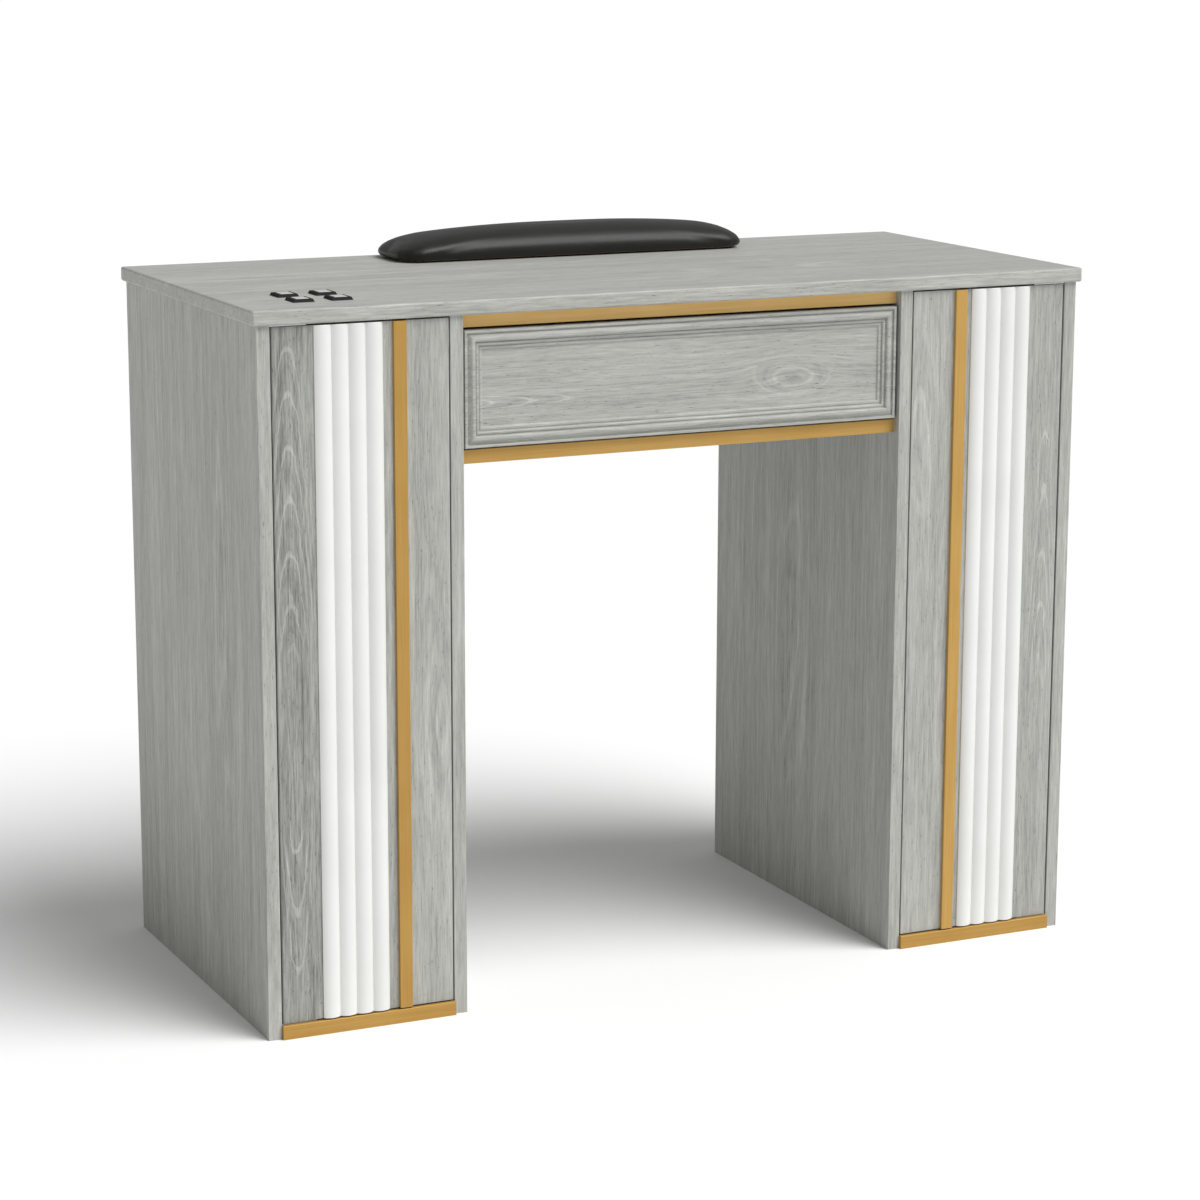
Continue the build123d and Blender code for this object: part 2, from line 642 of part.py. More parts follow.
def fluted_panel():
    """Convex ribs side by side, each an arc between two valleys."""
    start = -OUTER_X + FLUTE_OFFSET
    back = FRONT_Y
    valley = FRONT_Y - FLUTE_BASE
    crest = valley - FLUTE_RISE
    lines = [Line((start, back), (start, valley))]
    for i in range(FLUTE_COUNT):
        x_low = start + i * FLUTE_PITCH
        x_high = x_low + FLUTE_PITCH
        lines.append(ThreePointArc((x_low, valley), ((x_low + x_high) / 2, crest), (x_high, valley)))
    end = start + FLUTE_WIDTH
    lines += [Line((end, valley), (end, back)), Line((end, back), (start, back))]
    section = make_face(Wire(lines))
    return Pos(0, 0, DOOR_LOW_Z) * extrude(section, amount=DOOR_HIGH_Z - DOOR_LOW_Z, dir=(0, 0, 1))


def door_strip(offset):
    x_low = -OUTER_X + offset
    body = block(x_low, x_low + STRIP_WIDTH, FRONT_Y - STRIP_THICK, FRONT_Y, DOOR_LOW_Z, DOOR_HIGH_Z)
    return fillet(body.edges().filter_by(Axis.Z).group_by(Axis.Y)[0], STRIP_ROUND)


# ---- push latches: a sprung plunger in a housing, and a plate that it pushes against
def latch_front_y():
    """Front of a door latch's housing."""
    return DOOR_BACK_Y + STRIKE_THICK + PLUNGER_REST_GAP + PLUNGER_REACH


def door_latch_x():
    return -INNER_INNER_X - LATCH_WIDTH / 2


def strike_plane(x, y, z):
    """Z points back, from the door or drawer towards its latch."""
    return Plane(origin=(x, y, z), z_dir=(0, 1, 0))


def strike_spigot():
    plane = strike_plane(door_latch_x(), DOOR_BACK_Y, LATCH_DOOR_Z)
    return rod(plane, SPIGOT_RADIUS, -SPIGOT_LENGTH, 0)


def strike_plate():
    plane = strike_plane(door_latch_x(), DOOR_BACK_Y, LATCH_DOOR_Z)
    return rod(plane, STRIKE_RADIUS, 0, STRIKE_THICK) + strike_spigot()


def latch_block(x, y, z):
    body = block(
        x - LATCH_WIDTH / 2, x + LATCH_WIDTH / 2, y, y + LATCH_LENGTH,
        z - LATCH_HEIGHT / 2, z + LATCH_HEIGHT / 2,
    )
    return softened(body, Axis.Y, LATCH_ROUND)


def plunger_bore(x, y, z):
    depth = LATCH_LENGTH - LATCH_END_WALL
    return rod(strike_plane(x, y, z), PLUNGER_RADIUS + PLUNGER_PLAY, -1, depth)


def plunger(x, y, z, reach):
    """A round-nosed pin that stands out of its housing by its reach."""
    rear = LATCH_LENGTH - LATCH_END_WALL - PLUNGER_TRAVEL - PLUNGER_PLAY
    body = rod(strike_plane(x, y, z), PLUNGER_RADIUS, -reach, rear)
    tip = body.edges().filter_by(GeomType.CIRCLE).sort_by(Axis.Y)[0]
    return fillet(tip, PLUNGER_NOSE)


def drawer_latch_y():
    return REAR_RAIL_Y - LATCH_LENGTH


def drawer_latch_screws():
    """The drawer latch is held through its two ears into the rear rail."""
    x = LATCH_WIDTH / 2 + LATCH_EAR / 2
    y = REAR_RAIL_Y - LATCH_WIDTH
    return [Plane(origin=(side * x, y, SLIDE_Z), z_dir=(0, -1, 0)) for side in (-1, 1)]


def drawer_latch_housing():
    place = (0, drawer_latch_y(), SLIDE_Z)
    half_x = LATCH_WIDTH / 2 + LATCH_EAR
    ears = block(
        -half_x, half_x, REAR_RAIL_Y - LATCH_WIDTH, REAR_RAIL_Y,
        SLIDE_Z - LATCH_HEIGHT / 2, SLIDE_Z + LATCH_HEIGHT / 2,
    )
    body = latch_block(*place) + ears - plunger_bore(*place)
    return body - [screw_cut(p, 2 * LATCH_WIDTH) for p in drawer_latch_screws()]


def drawer_plunger():
    reach = drawer_latch_y() - (DRAWER_BACK_Y + PLUNGER_REST_GAP)
    return plunger(0, drawer_latch_y(), SLIDE_Z, reach)


def latch_housings():
    place = (door_latch_x(), latch_front_y(), LATCH_DOOR_Z)
    left = latch_block(*place) - plunger_bore(*place)
    left = left - [screw_cut(p, 2 * LATCH_WIDTH) for p in latch_screws()]
    return together(both_sides([left]) + [drawer_latch_housing()])


# ---- drawer
def drawer_front_bounds():
    """Half width, low edge and high edge of the drawer front."""
    half_x = INNER_X - DRAWER_SIDE_GAP
    return half_x, BAY_FLOOR_Z + DRAWER_GAP, UPPER_RAIL_Z - DRAWER_GAP


def moulding_profile():
    """Distance in from the edge against depth behind the front plane: lip, ogee, bead, steps."""
    return [
        (0.0, 1.6), (0.6, 1.3), (2.8, 1.5), (3.0, 3.7), (4.6, 3.2), (6.6, 1.1), (8.8, 0.0), (10.8, 0.4),
        (12.8, 2.0), (13.3, 3.6), (14.4, 3.0), (16.4, 3.2), (17.2, 5.5), (18.4, 5.1), (20.4, 5.1),
        (21.4, 6.0), (22.0, MOULD_SINK),
    ]


def mitre(x_low, x_high, z_low, z_high, side):
    """A prism that keeps one side's share of a mitred frame."""
    w = MOULD_WIDTH
    a, b, c, d = (x_low, z_low), (x_high, z_low), (x_high, z_high), (x_low, z_high)
    e, f = (x_low + w, z_low + w), (x_high - w, z_low + w)
    g, h = (x_high - w, z_high - w), (x_low + w, z_high - w)
    corners = {"low": (a, b, f, e), "right": (b, c, g, f), "high": (c, d, h, g), "left": (d, a, e, h)}
    face = Plane.XZ * Polygon(*corners[side], align=None)
    return extrude(face, amount=TOP_DEPTH, both=True)


def moulding_bar(side):
    """One mitred side of the drawer front's frame."""
    half_x, z_low, z_high = drawer_front_bounds()
    back = DRAWER_BOX_Y
    profile = moulding_profile() + [(MOULD_WIDTH, MOULD_SINK)]
    if side in ("low", "high"):
        edge, sign = (z_low, 1) if side == "low" else (z_high, -1)
        points = [(DRAWER_FRONT_Y + depth, edge + sign * inset) for inset, depth in profile]
        points += [(back, edge + sign * MOULD_WIDTH), (back, edge)]
        face = Plane.YZ * Polygon(*points, align=None)
        bar = extrude(face, amount=half_x, both=True)
    else:
        edge, sign = (-half_x, 1) if side == "left" else (half_x, -1)
        points = [(edge + sign * inset, DRAWER_FRONT_Y + depth) for inset, depth in profile]
        points += [(edge + sign * MOULD_WIDTH, back), (edge, back)]
        face = Plane.XY * Polygon(*points, align=None)
        bar = extrude(face, amount=TABLE_HEIGHT, both=True)
    return bar & mitre(-half_x, half_x, z_low, z_high, side)


def drawer_front_screws():
    """Screws from inside the drawer box into its front."""
    z_mid = (DRAWER_BOX_Z + DRAWER_BOX_TOP) / 2
    y = DRAWER_BOX_Y + DRAWER_BOARD
    x = DRAWER_HALF - FRONT_SCREW_INSET
    spots = [(sx * x, z_mid + sz * FRONT_SCREW_RISE) for sx in (-1, 1) for sz in (-1, 1)]
    return [Plane(origin=(x_screw, y, z), z_dir=(0, 1, 0)) for x_screw, z in spots]


def drawer_corner_screws():
    """Screws through the left drawer side into the box's front and back."""
    ys = (DRAWER_BOX_Y + DRAWER_BOARD / 2, DRAWER_BACK_Y - DRAWER_BOARD / 2)
    x = -DRAWER_HALF + SCREW_HEAD_HEIGHT
    heights = (DRAWER_BOTTOM_Z + CORNER_SCREW_INSET, DRAWER_BOX_TOP - CORNER_SCREW_INSET)
    return [Plane(origin=(x, y, z), z_dir=(-1, 0, 0)) for y in ys for z in heights]


def drawer_front():
    """A board whose rim is carved with stepped beads round a sunk flat panel."""
    half_x, z_low, z_high = drawer_front_bounds()
    panel_x = half_x - MOULD_WIDTH
    panel_low, panel_high = z_low + MOULD_WIDTH, z_high - MOULD_WIDTH
    sunk = DRAWER_FRONT_Y + MOULD_SINK
    body = block(-panel_x, panel_x, sunk, DRAWER_BOX_Y, panel_low, panel_high)
    for side in ("low", "right", "high", "left"):
        body = body + moulding_bar(side)
    return body - [screw_cut(p, FRONT_SCREW_LENGTH) for p in drawer_front_screws()]


def drawer_bottom():
    half = DRAWER_HALF - DRAWER_BOARD + DRAWER_GROOVE
    y_low = DRAWER_BOX_Y + DRAWER_BOARD - DRAWER_GROOVE
    return block(-half, half, y_low, DRAWER_BACK_Y, DRAWER_BOTTOM_Z, DRAWER_BOTTOM_Z + DRAWER_BOTTOM_THICK)


def drawer_side():
    body = block(
        -DRAWER_HALF, -DRAWER_HALF + DRAWER_BOARD, DRAWER_BOX_Y, DRAWER_BACK_Y,
        DRAWER_BOX_Z, DRAWER_BOX_TOP,
    )
    body = fillet(body.edges().filter_by(Axis.Y).group_by(Axis.Z)[-1], DRAWER_EDGE_ROUND)
    body = body - drawer_bottom()
    cuts = [screw_cut(p, SLIDE_STEEL + SHORT_SCREW) for p in drawer_slide_screws()]
    cuts += [screw(p, DRAWER_SCREW_LENGTH) for p in drawer_corner_screws()]
    return body - cuts


def drawer_cross_board(y_low):
    half = DRAWER_HALF - DRAWER_BOARD
    body = block(-half, half, y_low, y_low + DRAWER_BOARD, DRAWER_BOX_Z, DRAWER_BOX_TOP)
    body = body - drawer_bottom()
    return body - both_sides([screw_cut(p, DRAWER_SCREW_LENGTH) for p in drawer_corner_screws()])


def drawer_box_front():
    body = drawer_cross_board(DRAWER_BOX_Y)
    return body - [screw_cut(p, FRONT_SCREW_LENGTH) for p in drawer_front_screws()]


def drawer_back():
    """It stands on the bottom panel, which runs out under it."""
    half = DRAWER_HALF - DRAWER_BOARD
    low = DRAWER_BOTTOM_Z + DRAWER_BOTTOM_THICK
    body = block(-half, half, DRAWER_BACK_Y - DRAWER_BOARD, DRAWER_BACK_Y, low, DRAWER_BOX_TOP)
    return body - both_sides([screw_cut(p, DRAWER_SCREW_LENGTH) for p in drawer_corner_screws()])


def drawer_screws():
    front = [screw(p, FRONT_SCREW_LENGTH) for p in drawer_front_screws()]
    corners = [screw(p, DRAWER_SCREW_LENGTH) for p in drawer_corner_screws()]
    slides = [screw(p, SLIDE_STEEL + SHORT_SCREW) for p in drawer_slide_screws()]
    return together(both_sides(corners + slides) + front)


# ---- ball-bearing slides, written for the left side
def slide_piece(x_low, x_high, z_half):
    """A strip of the slide's section, as long as the slide."""
    x = -INNER_X
    return block(x + x_low, x + x_high, SLIDE_Y, SLIDE_Y + SLIDE_LENGTH, SLIDE_Z - z_half, SLIDE_Z + z_half)


def slide_channel(x_web, x_open, z_half, lip):
    """A channel on its side: a web, two flanges, and lips at the open side."""
    t = SLIDE_STEEL
    low, high = min(x_web, x_open), max(x_web, x_open)
    body = slide_piece(low, high, z_half)
    if x_open > x_web:
        hollow = slide_piece(low + t, high - t, z_half - t) + slide_piece(high - t, high, z_half - t - lip)
    else:
        hollow = slide_piece(low + t, high - t, z_half - t) + slide_piece(low, low + t, z_half - t - lip)
    return body - hollow


def slide_outer():
    body = slide_channel(0, OUTER_END, SLIDE_HEIGHT / 2, LIP_HEIGHT)
    return body - [screw_cut(p, 2 * SLIDE_STEEL) for p in cabinet_slide_screws()]


def slide_middle():
    return slide_channel(MIDDLE_START, MIDDLE_END, MIDDLE_HALF, LIP_HEIGHT)


def slide_inner():
    body = slide_channel(SLIDE_DEPTH, INNER_START, INNER_HALF, 0.0)
    return body - [screw_cut(p, 2 * SLIDE_STEEL) for p in drawer_slide_screws()]


def ball_row(x_depth, z_offset, y_start):
    spots = [y_start + BALL_STEP * i for i in range(BALLS_PER_ROW)]
    return [
        Pos(-INNER_X + x_depth, y, SLIDE_Z + side * z_offset) * Sphere(BALL_RADIUS)
        for y in spots
        for side in (-1, 1)
    ]


def slide_balls():
    """Outer balls sit in the back half of the middle member, inner balls in its front half."""
    gap = BALL_RADIUS + BALL_PLAY
    span = BALL_STEP * (BALLS_PER_ROW - 1)
    outer = ball_row(OUTER_BALL_DEPTH, OUTER_RACE - gap, SLIDE_Y + SLIDE_LENGTH - BALL_END_GAP - span)
    inner = ball_row(INNER_BALL_DEPTH, MIDDLE_HALF - SLIDE_STEEL - gap, SLIDE_Y + BALL_END_GAP)
    return together(both_sides(outer + inner))


# ---- wrist rest
def rest_block(inset, z_low, z_high):
    x, y = REST_CENTRE_X, REST_CENTRE_Y
    half_x, half_y = REST_LENGTH / 2 - inset, REST_DEPTH / 2 - inset
    return block(x - half_x, x + half_x, y - half_y, y + half_y, z_low, z_high)


def wrist_rest_base():
    body = rest_block(REST_BASE_INSET, REST_BASE_Z, REST_BASE_Z + REST_BASE_THICK)
    body = softened(body, Axis.Z, REST_CORNER - REST_BASE_INSET / 2)
    return body - [screw_cut(p, REST_SCREW_LENGTH) for p in rest_screws()]


def wrist_rest_pad():
    """The padding wraps the base board's edges and leaves its underside open."""
    body = rest_block(0, REST_BASE_Z, TABLE_HEIGHT + REST_HEIGHT)
    body = softened(body, Axis.Z, REST_CORNER)
    body = fillet(body.faces().sort_by(Axis.Z)[-1].edges(), REST_DOME)
    pocket = rest_block(REST_BASE_INSET, REST_BASE_Z, REST_BASE_Z + REST_BASE_THICK)
    return body - softened(pocket, Axis.Z, REST_CORNER - REST_BASE_INSET / 2)


def wrist_rest_feet():
    half_x = REST_LENGTH / 2 - REST_FOOT_INSET_X
    half_y = REST_DEPTH / 2 - REST_FOOT_INSET_Y
    spots = [
        (REST_CENTRE_X + sx * half_x, REST_CENTRE_Y + sy * half_y)
        for sx in (-1, 1)
        for sy in (-1, 1)
    ]
    return together([
        rod(Plane(origin=(x, y, TABLE_HEIGHT)), REST_FOOT_RADIUS, 0, REST_FOOT_HEIGHT) for x, y in spots
    ])


# ---- switches
def switch_places():
    """Two by two, set in from the worktop's left and front edges."""
    x_start = -TOP_WIDTH / 2 + SWITCH_SIDE_MARGIN
    y_start = -TOP_DEPTH / 2 + SWITCH_FRONT_MARGIN
    return [(x_start + i * SWITCH_PITCH_X, y_start + j * SWITCH_PITCH_Y) for j in range(2) for i in range(2)]


def switch_housing(x, y):
    """A bevelled bezel on the worktop with a body that hangs in the cut-out below it."""
    base = Pos(x, y, TABLE_HEIGHT) * Rectangle(BEZEL_WIDTH, BEZEL_DEPTH)
    rim = Rectangle(BEZEL_WIDTH - BEZEL_SLOPE, BEZEL_DEPTH - BEZEL_SLOPE)
    rim = Pos(x, y, TABLE_HEIGHT + BEZEL_HEIGHT) * rim
    bezel = loft([base, rim])
    half_x, half_y = SWITCH_BODY_WIDTH / 2, SWITCH_BODY_DEPTH / 2
    low = TABLE_HEIGHT - SWITCH_BODY_DROP
    stem = block(x - half_x, x + half_x, y - half_y, y + half_y, low, TABLE_HEIGHT)
    well_x, well_y = CAP_WIDTH / 2 + CAP_PLAY, CAP_DEPTH / 2 + CAP_PLAY
    top = TABLE_HEIGHT + BEZEL_HEIGHT
    floor = top + CAP_PROUD - CAP_LENGTH - CAP_TRAVEL - CAP_FLOOR_SPARE
    well = block(x - well_x, x + well_x, y - well_y, y + well_y, floor, top + 1)
    return bezel + stem - well


def switch_cap(x, y):
    top = TABLE_HEIGHT + BEZEL_HEIGHT + CAP_PROUD
    half_x, half_y = CAP_WIDTH / 2, CAP_DEPTH / 2
    body = block(x - half_x, x + half_x, y - half_y, y + half_y, top - CAP_LENGTH, top)
    return fillet(body.faces().sort_by(Axis.Z)[-1].edges(), CAP_ROUND)


def switch_housings():
    return together([switch_housing(x, y) for x, y in switch_places()])


def cover_bounds():
    """Low and high corners of the tray that encloses the switch bodies under the worktop."""
    xs = [x for x, y in switch_places()]
    ys = [y for x, y in switch_places()]
    half_x = SWITCH_BODY_WIDTH / 2 + COVER_MARGIN
    half_y = SWITCH_BODY_DEPTH / 2 + COVER_MARGIN
    low = (min(xs) - half_x, min(ys) - half_y, TOP_UNDERSIDE - COVER_DEPTH)
    high = (max(xs) + half_x, max(ys) + half_y, TOP_UNDERSIDE)
    return low, high


def wiring_cover():
    low, high = cover_bounds()
    body = block(low[0], high[0], low[1], high[1], low[2], high[2])
    body = softened(body, Axis.Z, COVER_CORNER)
    flange = block(
        low[0], high[0], low[1] - COVER_FLANGE, high[1] + COVER_FLANGE, high[2] - COVER_WALL, high[2],
    )
    wall = COVER_WALL
    hollow = block(low[0] + wall, high[0] - wall, low[1] + wall, high[1] - wall, low[2] + wall, high[2])
    outlet_spot = ((low[0] + high[0]) / 2 - COVER_OUTLET_OFFSET, high[1], (low[2] + high[2]) / 2)
    outlet = rod(Plane(origin=outlet_spot, z_dir=(0, 1, 0)), COVER_OUTLET_RADIUS, -2 * wall, 1)
    return body + flange - hollow - outlet - [screw_cut(p, 2 * wall) for p in cover_screws()]


# ---- the whole table, one STEP file for each node
def nodes():
    left_latch = plunger(door_latch_x(), latch_front_y(), LATCH_DOOR_Z, PLUNGER_REACH)
    pairs = {
        "outer_side": outer_side(),
        "inner_side": inner_side(),
        "bottom_board": bottom_board(),
        "shelf": shelf(),
        "kick_trim": kick_trim(),
        "door": door(),
        "fluted_panel": fluted_panel(),
        "door_pivot_leaves": door_leaves(),
        "strike_plate": strike_plate(),
        "latch_plunger": left_latch,
        "drawer_side": drawer_side(),
        "slide_outer": slide_outer(),
        "slide_middle": slide_middle(),
        "slide_inner": slide_inner(),
    }
    found = {}
    for name, part in pairs.items():
        found["left_" + name] = part
        found["right_" + name] = mirrored(part)
    found["left_door_strip"] = door_strip(STRIP_OFFSET)
    found["right_door_strip"] = mirrored(door_strip(RIGHT_STRIP_OFFSET))
    found["left_back_panel"] = notched_back_panel()
    found["right_back_panel"] = mirrored(back_panel())
    found["worktop"] = worktop()
    found["shelf_pins"] = shelf_pins()
    found["cam_bolts"] = cam_bolts()
    found["cam_discs"] = cam_discs()
    found["wood_screws"] = wood_screws()
    found["upper_front_rail"] = front_rail(UPPER_RAIL_Z, UPPER_RAIL_CAMS)
    found["lower_front_rail"] = front_rail(BAY_FLOOR_Z - BOARD, LOWER_RAIL_CAMS)
    found["upper_rail_trim"] = rail_trim(UPPER_RAIL_Z)
    found["lower_rail_trim"] = rail_trim(BAY_FLOOR_Z - BOARD)
    found["rear_rail"] = rear_rail()
    found["cabinet_pivot_plates"] = cabinet_pivot_plates()
    found["latch_housings"] = latch_housings()
    found["drawer_latch_plunger"] = drawer_plunger()
    found["drawer_front"] = drawer_front()
    found["drawer_box_front"] = drawer_box_front()
    found["drawer_back"] = drawer_back()
    found["drawer_bottom"] = drawer_bottom()
    found["drawer_screws"] = drawer_screws()
    found["slide_balls"] = slide_balls()
    found["wrist_rest_base"] = wrist_rest_base()
    found["wrist_rest_pad"] = wrist_rest_pad()
    found["wrist_rest_feet"] = wrist_rest_feet()
    found["switch_housings"] = switch_housings()
    for number, (x, y) in enumerate(switch_places(), start=1):
        found[f"switch_cap_{number}"] = switch_cap(x, y)
    found["wiring_cover"] = wiring_cover()
    return found


os.makedirs("parts", exist_ok=True)
for node_name, node_part in nodes().items():
    export_step(node_part, f"parts/{node_name}.step")
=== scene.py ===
import math

import bmesh
import bpy
from mathutils import Matrix, Vector


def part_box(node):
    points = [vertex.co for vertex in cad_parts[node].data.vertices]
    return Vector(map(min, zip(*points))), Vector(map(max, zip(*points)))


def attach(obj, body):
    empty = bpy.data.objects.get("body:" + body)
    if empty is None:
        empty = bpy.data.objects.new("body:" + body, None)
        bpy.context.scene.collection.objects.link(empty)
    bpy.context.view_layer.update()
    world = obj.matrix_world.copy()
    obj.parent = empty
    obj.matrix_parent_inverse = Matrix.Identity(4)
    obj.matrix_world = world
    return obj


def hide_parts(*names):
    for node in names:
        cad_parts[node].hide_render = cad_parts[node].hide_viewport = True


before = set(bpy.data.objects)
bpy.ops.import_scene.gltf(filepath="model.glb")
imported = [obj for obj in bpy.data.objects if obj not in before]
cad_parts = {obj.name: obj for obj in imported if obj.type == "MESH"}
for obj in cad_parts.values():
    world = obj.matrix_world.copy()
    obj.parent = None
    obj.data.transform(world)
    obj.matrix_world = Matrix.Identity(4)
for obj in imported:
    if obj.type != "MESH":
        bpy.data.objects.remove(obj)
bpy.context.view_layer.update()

# Manicure table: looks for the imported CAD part. Metres; the CAD's own frame.
MM = 0.001

# ---- camera, as the photograph sees the table
CAMERA_PLACE = (-1.6176, -3.4646, 1.2090)
CAMERA_YAW = 0.4364
CAMERA_PITCH = 0.2094
CAMERA_ROLL = 0.0024
CAMERA_LENS = 100.6
CAMERA_SENSOR = 36.0
CAMERA_REACH = 200.0

# ---- light and floor
SKY_STRENGTH = 0.35
SUN_STRENGTH = 3.1
SUN_FROM = (0.40, -0.45, 0.80)
SUN_SPREAD = math.radians(42)
FLOOR_RADIUS = 60.0
FLOOR_SIDES = 64

# ---- steps along a rounded outline: round a corner, along a long side, along a short side
OUTLINE_ARC_STEPS = 8
OUTLINE_LONG_STEPS = 26
OUTLINE_SHORT_STEPS = 6


# ---- small helpers
def tone(red, green, blue):
    """A linear colour from 0-255 display values."""
    def linear(value):
        value /= 255
        return value / 12.92 if value < 0.04045 else ((value + 0.055) / 1.055) ** 2.4
    return (linear(red), linear(green), linear(blue), 1.0)


def new_piece(name, mesh, body, slot, *nodes):
    """Puts a mesh in the scene as a piece that stands for some CAD nodes."""
    piece = bpy.data.objects.new(name, mesh)
    bpy.context.scene.collection.objects.link(piece)
    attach(piece, body)
    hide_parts(*nodes)
    return piece


def mesh_of(name, shape, sharp_degrees=35.0):
    """A mesh from a bmesh, smooth except across sharp edges."""
    bmesh.ops.recalc_face_normals(shape, faces=shape.faces)
    mesh = bpy.data.meshes.new(name)
    shape.to_mesh(mesh)
    shape.free()
    mesh.shade_smooth()
    mesh.set_sharp_from_angle(angle=math.radians(sharp_degrees))
    return mesh


def skin(shape, loops):
    """Quads between neighbouring closed loops of vertices, and a face over each end loop."""
    for low, high in zip(loops, loops[1:]):
        count = len(low)
        for i in range(count):
            j = (i + 1) % count
            shape.faces.new((low[i], low[j], high[j], high[i]))
    shape.faces.new(loops[0])
    shape.faces.new(loops[-1])


def smooth_run(points, steps):
    """Points along a smooth curve through the given ones."""
    found = []
    last = len(points) - 1
    for i in range(last):
        before, start = Vector(points[max(i - 1, 0)]), Vector(points[i])
        end, after = Vector(points[i + 1]), Vector(points[min(i + 2, last)])
        for step in range(steps):
            t = step / steps
            a = start * 2
            b = (end - before) * t
            c = (before * 2 - start * 5 + end * 4 - after) * t ** 2
            d = (start * 3 - before - end * 3 + after) * t ** 3
            found.append((a + b + c + d) / 2)
    found.append(Vector(points[-1]))
    return found


def rounded_outline(half_x, half_y, radius):
    """A rounded rectangle about the origin, always with the same number of points."""
    def on_corner(side_x, side_y, degrees):
        centre = Vector((side_x * (half_x - radius), side_y * (half_y - radius)))
        angle = math.radians(degrees)
        return centre + radius * Vector((math.cos(angle), math.sin(angle)))

    outline = []
    corners = ((1, 1, 0), (-1, 1, 90), (-1, -1, 180), (1, -1, 270))
    for index, (side_x, side_y, start) in enumerate(corners):
        for step in range(OUTLINE_ARC_STEPS + 1):
            outline.append(on_corner(side_x, side_y, start + 90 * step / OUTLINE_ARC_STEPS))
        next_x, next_y, next_start = corners[(index + 1) % 4]
        target = on_corner(next_x, next_y, next_start)
        steps = OUTLINE_LONG_STEPS if side_y == next_y else OUTLINE_SHORT_STEPS
        here = outline[-1].copy()
        outline += [here.lerp(target, step / steps) for step in range(1, steps)]
    return outline


# ---- materials
class Look:
    """One procedural material, with short ways to add nodes to it."""

    def __init__(self, name, **constants):
        self.material = bpy.data.materials.new(name)
        self.material.use_nodes = True
        self.tree = self.material.node_tree
        self.shader = self.tree.nodes["Principled BSDF"]
        for key, value in constants.items():
            self.shader.inputs[key.replace("_", " ")].default_value = value
        self.place = self.node("ShaderNodeTexCoord").outputs["Object"]

    def feed(self, socket, value):
        """Links a socket to another one, or sets it to a constant."""
        if isinstance(value, bpy.types.NodeSocket):
            self.tree.links.new(value, socket)
        else:
            socket.default_value = value

    def node(self, kind, *inputs, **settings):
        made = self.tree.nodes.new(kind)
        for key, value in settings.items():
            setattr(made, key, value)
        for socket, value in zip(made.inputs, inputs):
            self.feed(socket, value)
        return made

    def math(self, operation, *inputs):
        return self.node("ShaderNodeMath", *inputs, operation=operation).outputs[0]

    def vector(self, operation, *inputs):
        return self.node("ShaderNodeVectorMath", *inputs, operation=operation).outputs[0]

    def total(self, *terms):
        whole = terms[0]
        for term in terms[1:]:
            whole = self.math("ADD", whole, term)
        return whole

    def mix(self, *shares):
        """The sum of some values, each given with its share."""
        return self.total(*[self.math("MULTIPLY", value, share) for value, share in shares])

    def noise(self, coords, scale=1.0, detail=2.0, roughness=0.5, distortion=0.0):
        made = self.node("ShaderNodeTexNoise")
        values = (coords, scale, detail, roughness, distortion)
        for key, value in zip(("Vector", "Scale", "Detail", "Roughness", "Distortion"), values):
            self.feed(made.inputs[key], value)
        return made.outputs[0]

    def swing(self, coords, gain, **settings):
        """Noise about zero, times a gain."""
        centred = self.math("SUBTRACT", self.noise(coords, **settings), 0.5)
        return self.math("MULTIPLY", centred, gain)

    def step(self, value, low, high, to_low=0.0, to_high=1.0):
        """A smooth step from one value to another as the input goes from low to high."""
        made = self.node("ShaderNodeMapRange", value, low, high, to_low, to_high)
        made.interpolation_type = "SMOOTHSTEP"
        return made.outputs[0]

    def cells(self, coords, scale, feature="F1"):
        made = self.node("ShaderNodeTexVoronoi", feature=feature)
        self.feed(made.inputs["Vector"], coords)
        self.feed(made.inputs["Scale"], scale)
        return made.outputs["Distance"]

    def ramp(self, factor, *stops):
        made = self.node("ShaderNodeValToRGB", factor)
        elements = made.color_ramp.elements
        while len(elements) < len(stops):
            elements.new(1.0)
        for element, (place, colour) in zip(elements, stops):
            element.position = place
            element.color = colour
        return made.outputs[0]

    def colour(self, value):
        self.feed(self.shader.inputs["Base Color"], value)

    def roughness(self, value):
        self.feed(self.shader.inputs["Roughness"], value)

    def bump(self, height, distance, strength):
        made = self.node("ShaderNodeBump")
        self.feed(made.inputs["Height"], height)
        self.feed(made.inputs["Distance"], distance)
        self.feed(made.inputs["Strength"], strength)
        self.feed(self.shader.inputs["Normal"], made.outputs[0])


# ---- wood: tones from the pores to the palest lines, each at its place on the ramp
WOOD_TONES = (
    (0.0, tone(108, 109, 104)), (0.28, tone(149, 150, 145)), (0.5, tone(168, 169, 163)),
    (0.72, tone(185, 186, 180)), (1.0, tone(208, 209, 203)),
)
WOOD_ROUGHNESS = 0.53
# Each layer of grain: its size across and along the grain, and its gain.
DRIFT_SIZE, DRIFT_GAIN = (0.060, 0.80), 7.0
TREMBLE_SIZE, TREMBLE_GAIN = (0.010, 0.09), 0.50
BAND_SIZE, BAND_GAIN = (0.030, 0.9), 0.34
STREAK_SIZE, STREAK_GAIN = (0.0050, 0.20), 0.66
FIBRE_SIZE, FIBRE_GAIN = (0.0015, 0.030), 1.00
PORE_SIZE, PORE_GAIN = (0.0011, 0.0075), -0.34
PATCH_SIZE = (0.10, 0.5)
# What a pale and a dark line add to the tone, in the ring lines and in the arches.
RING_PALE, RING_DARK = 0.15, -0.08
ARCH_PALE, ARCH_DARK = 0.24, -0.06


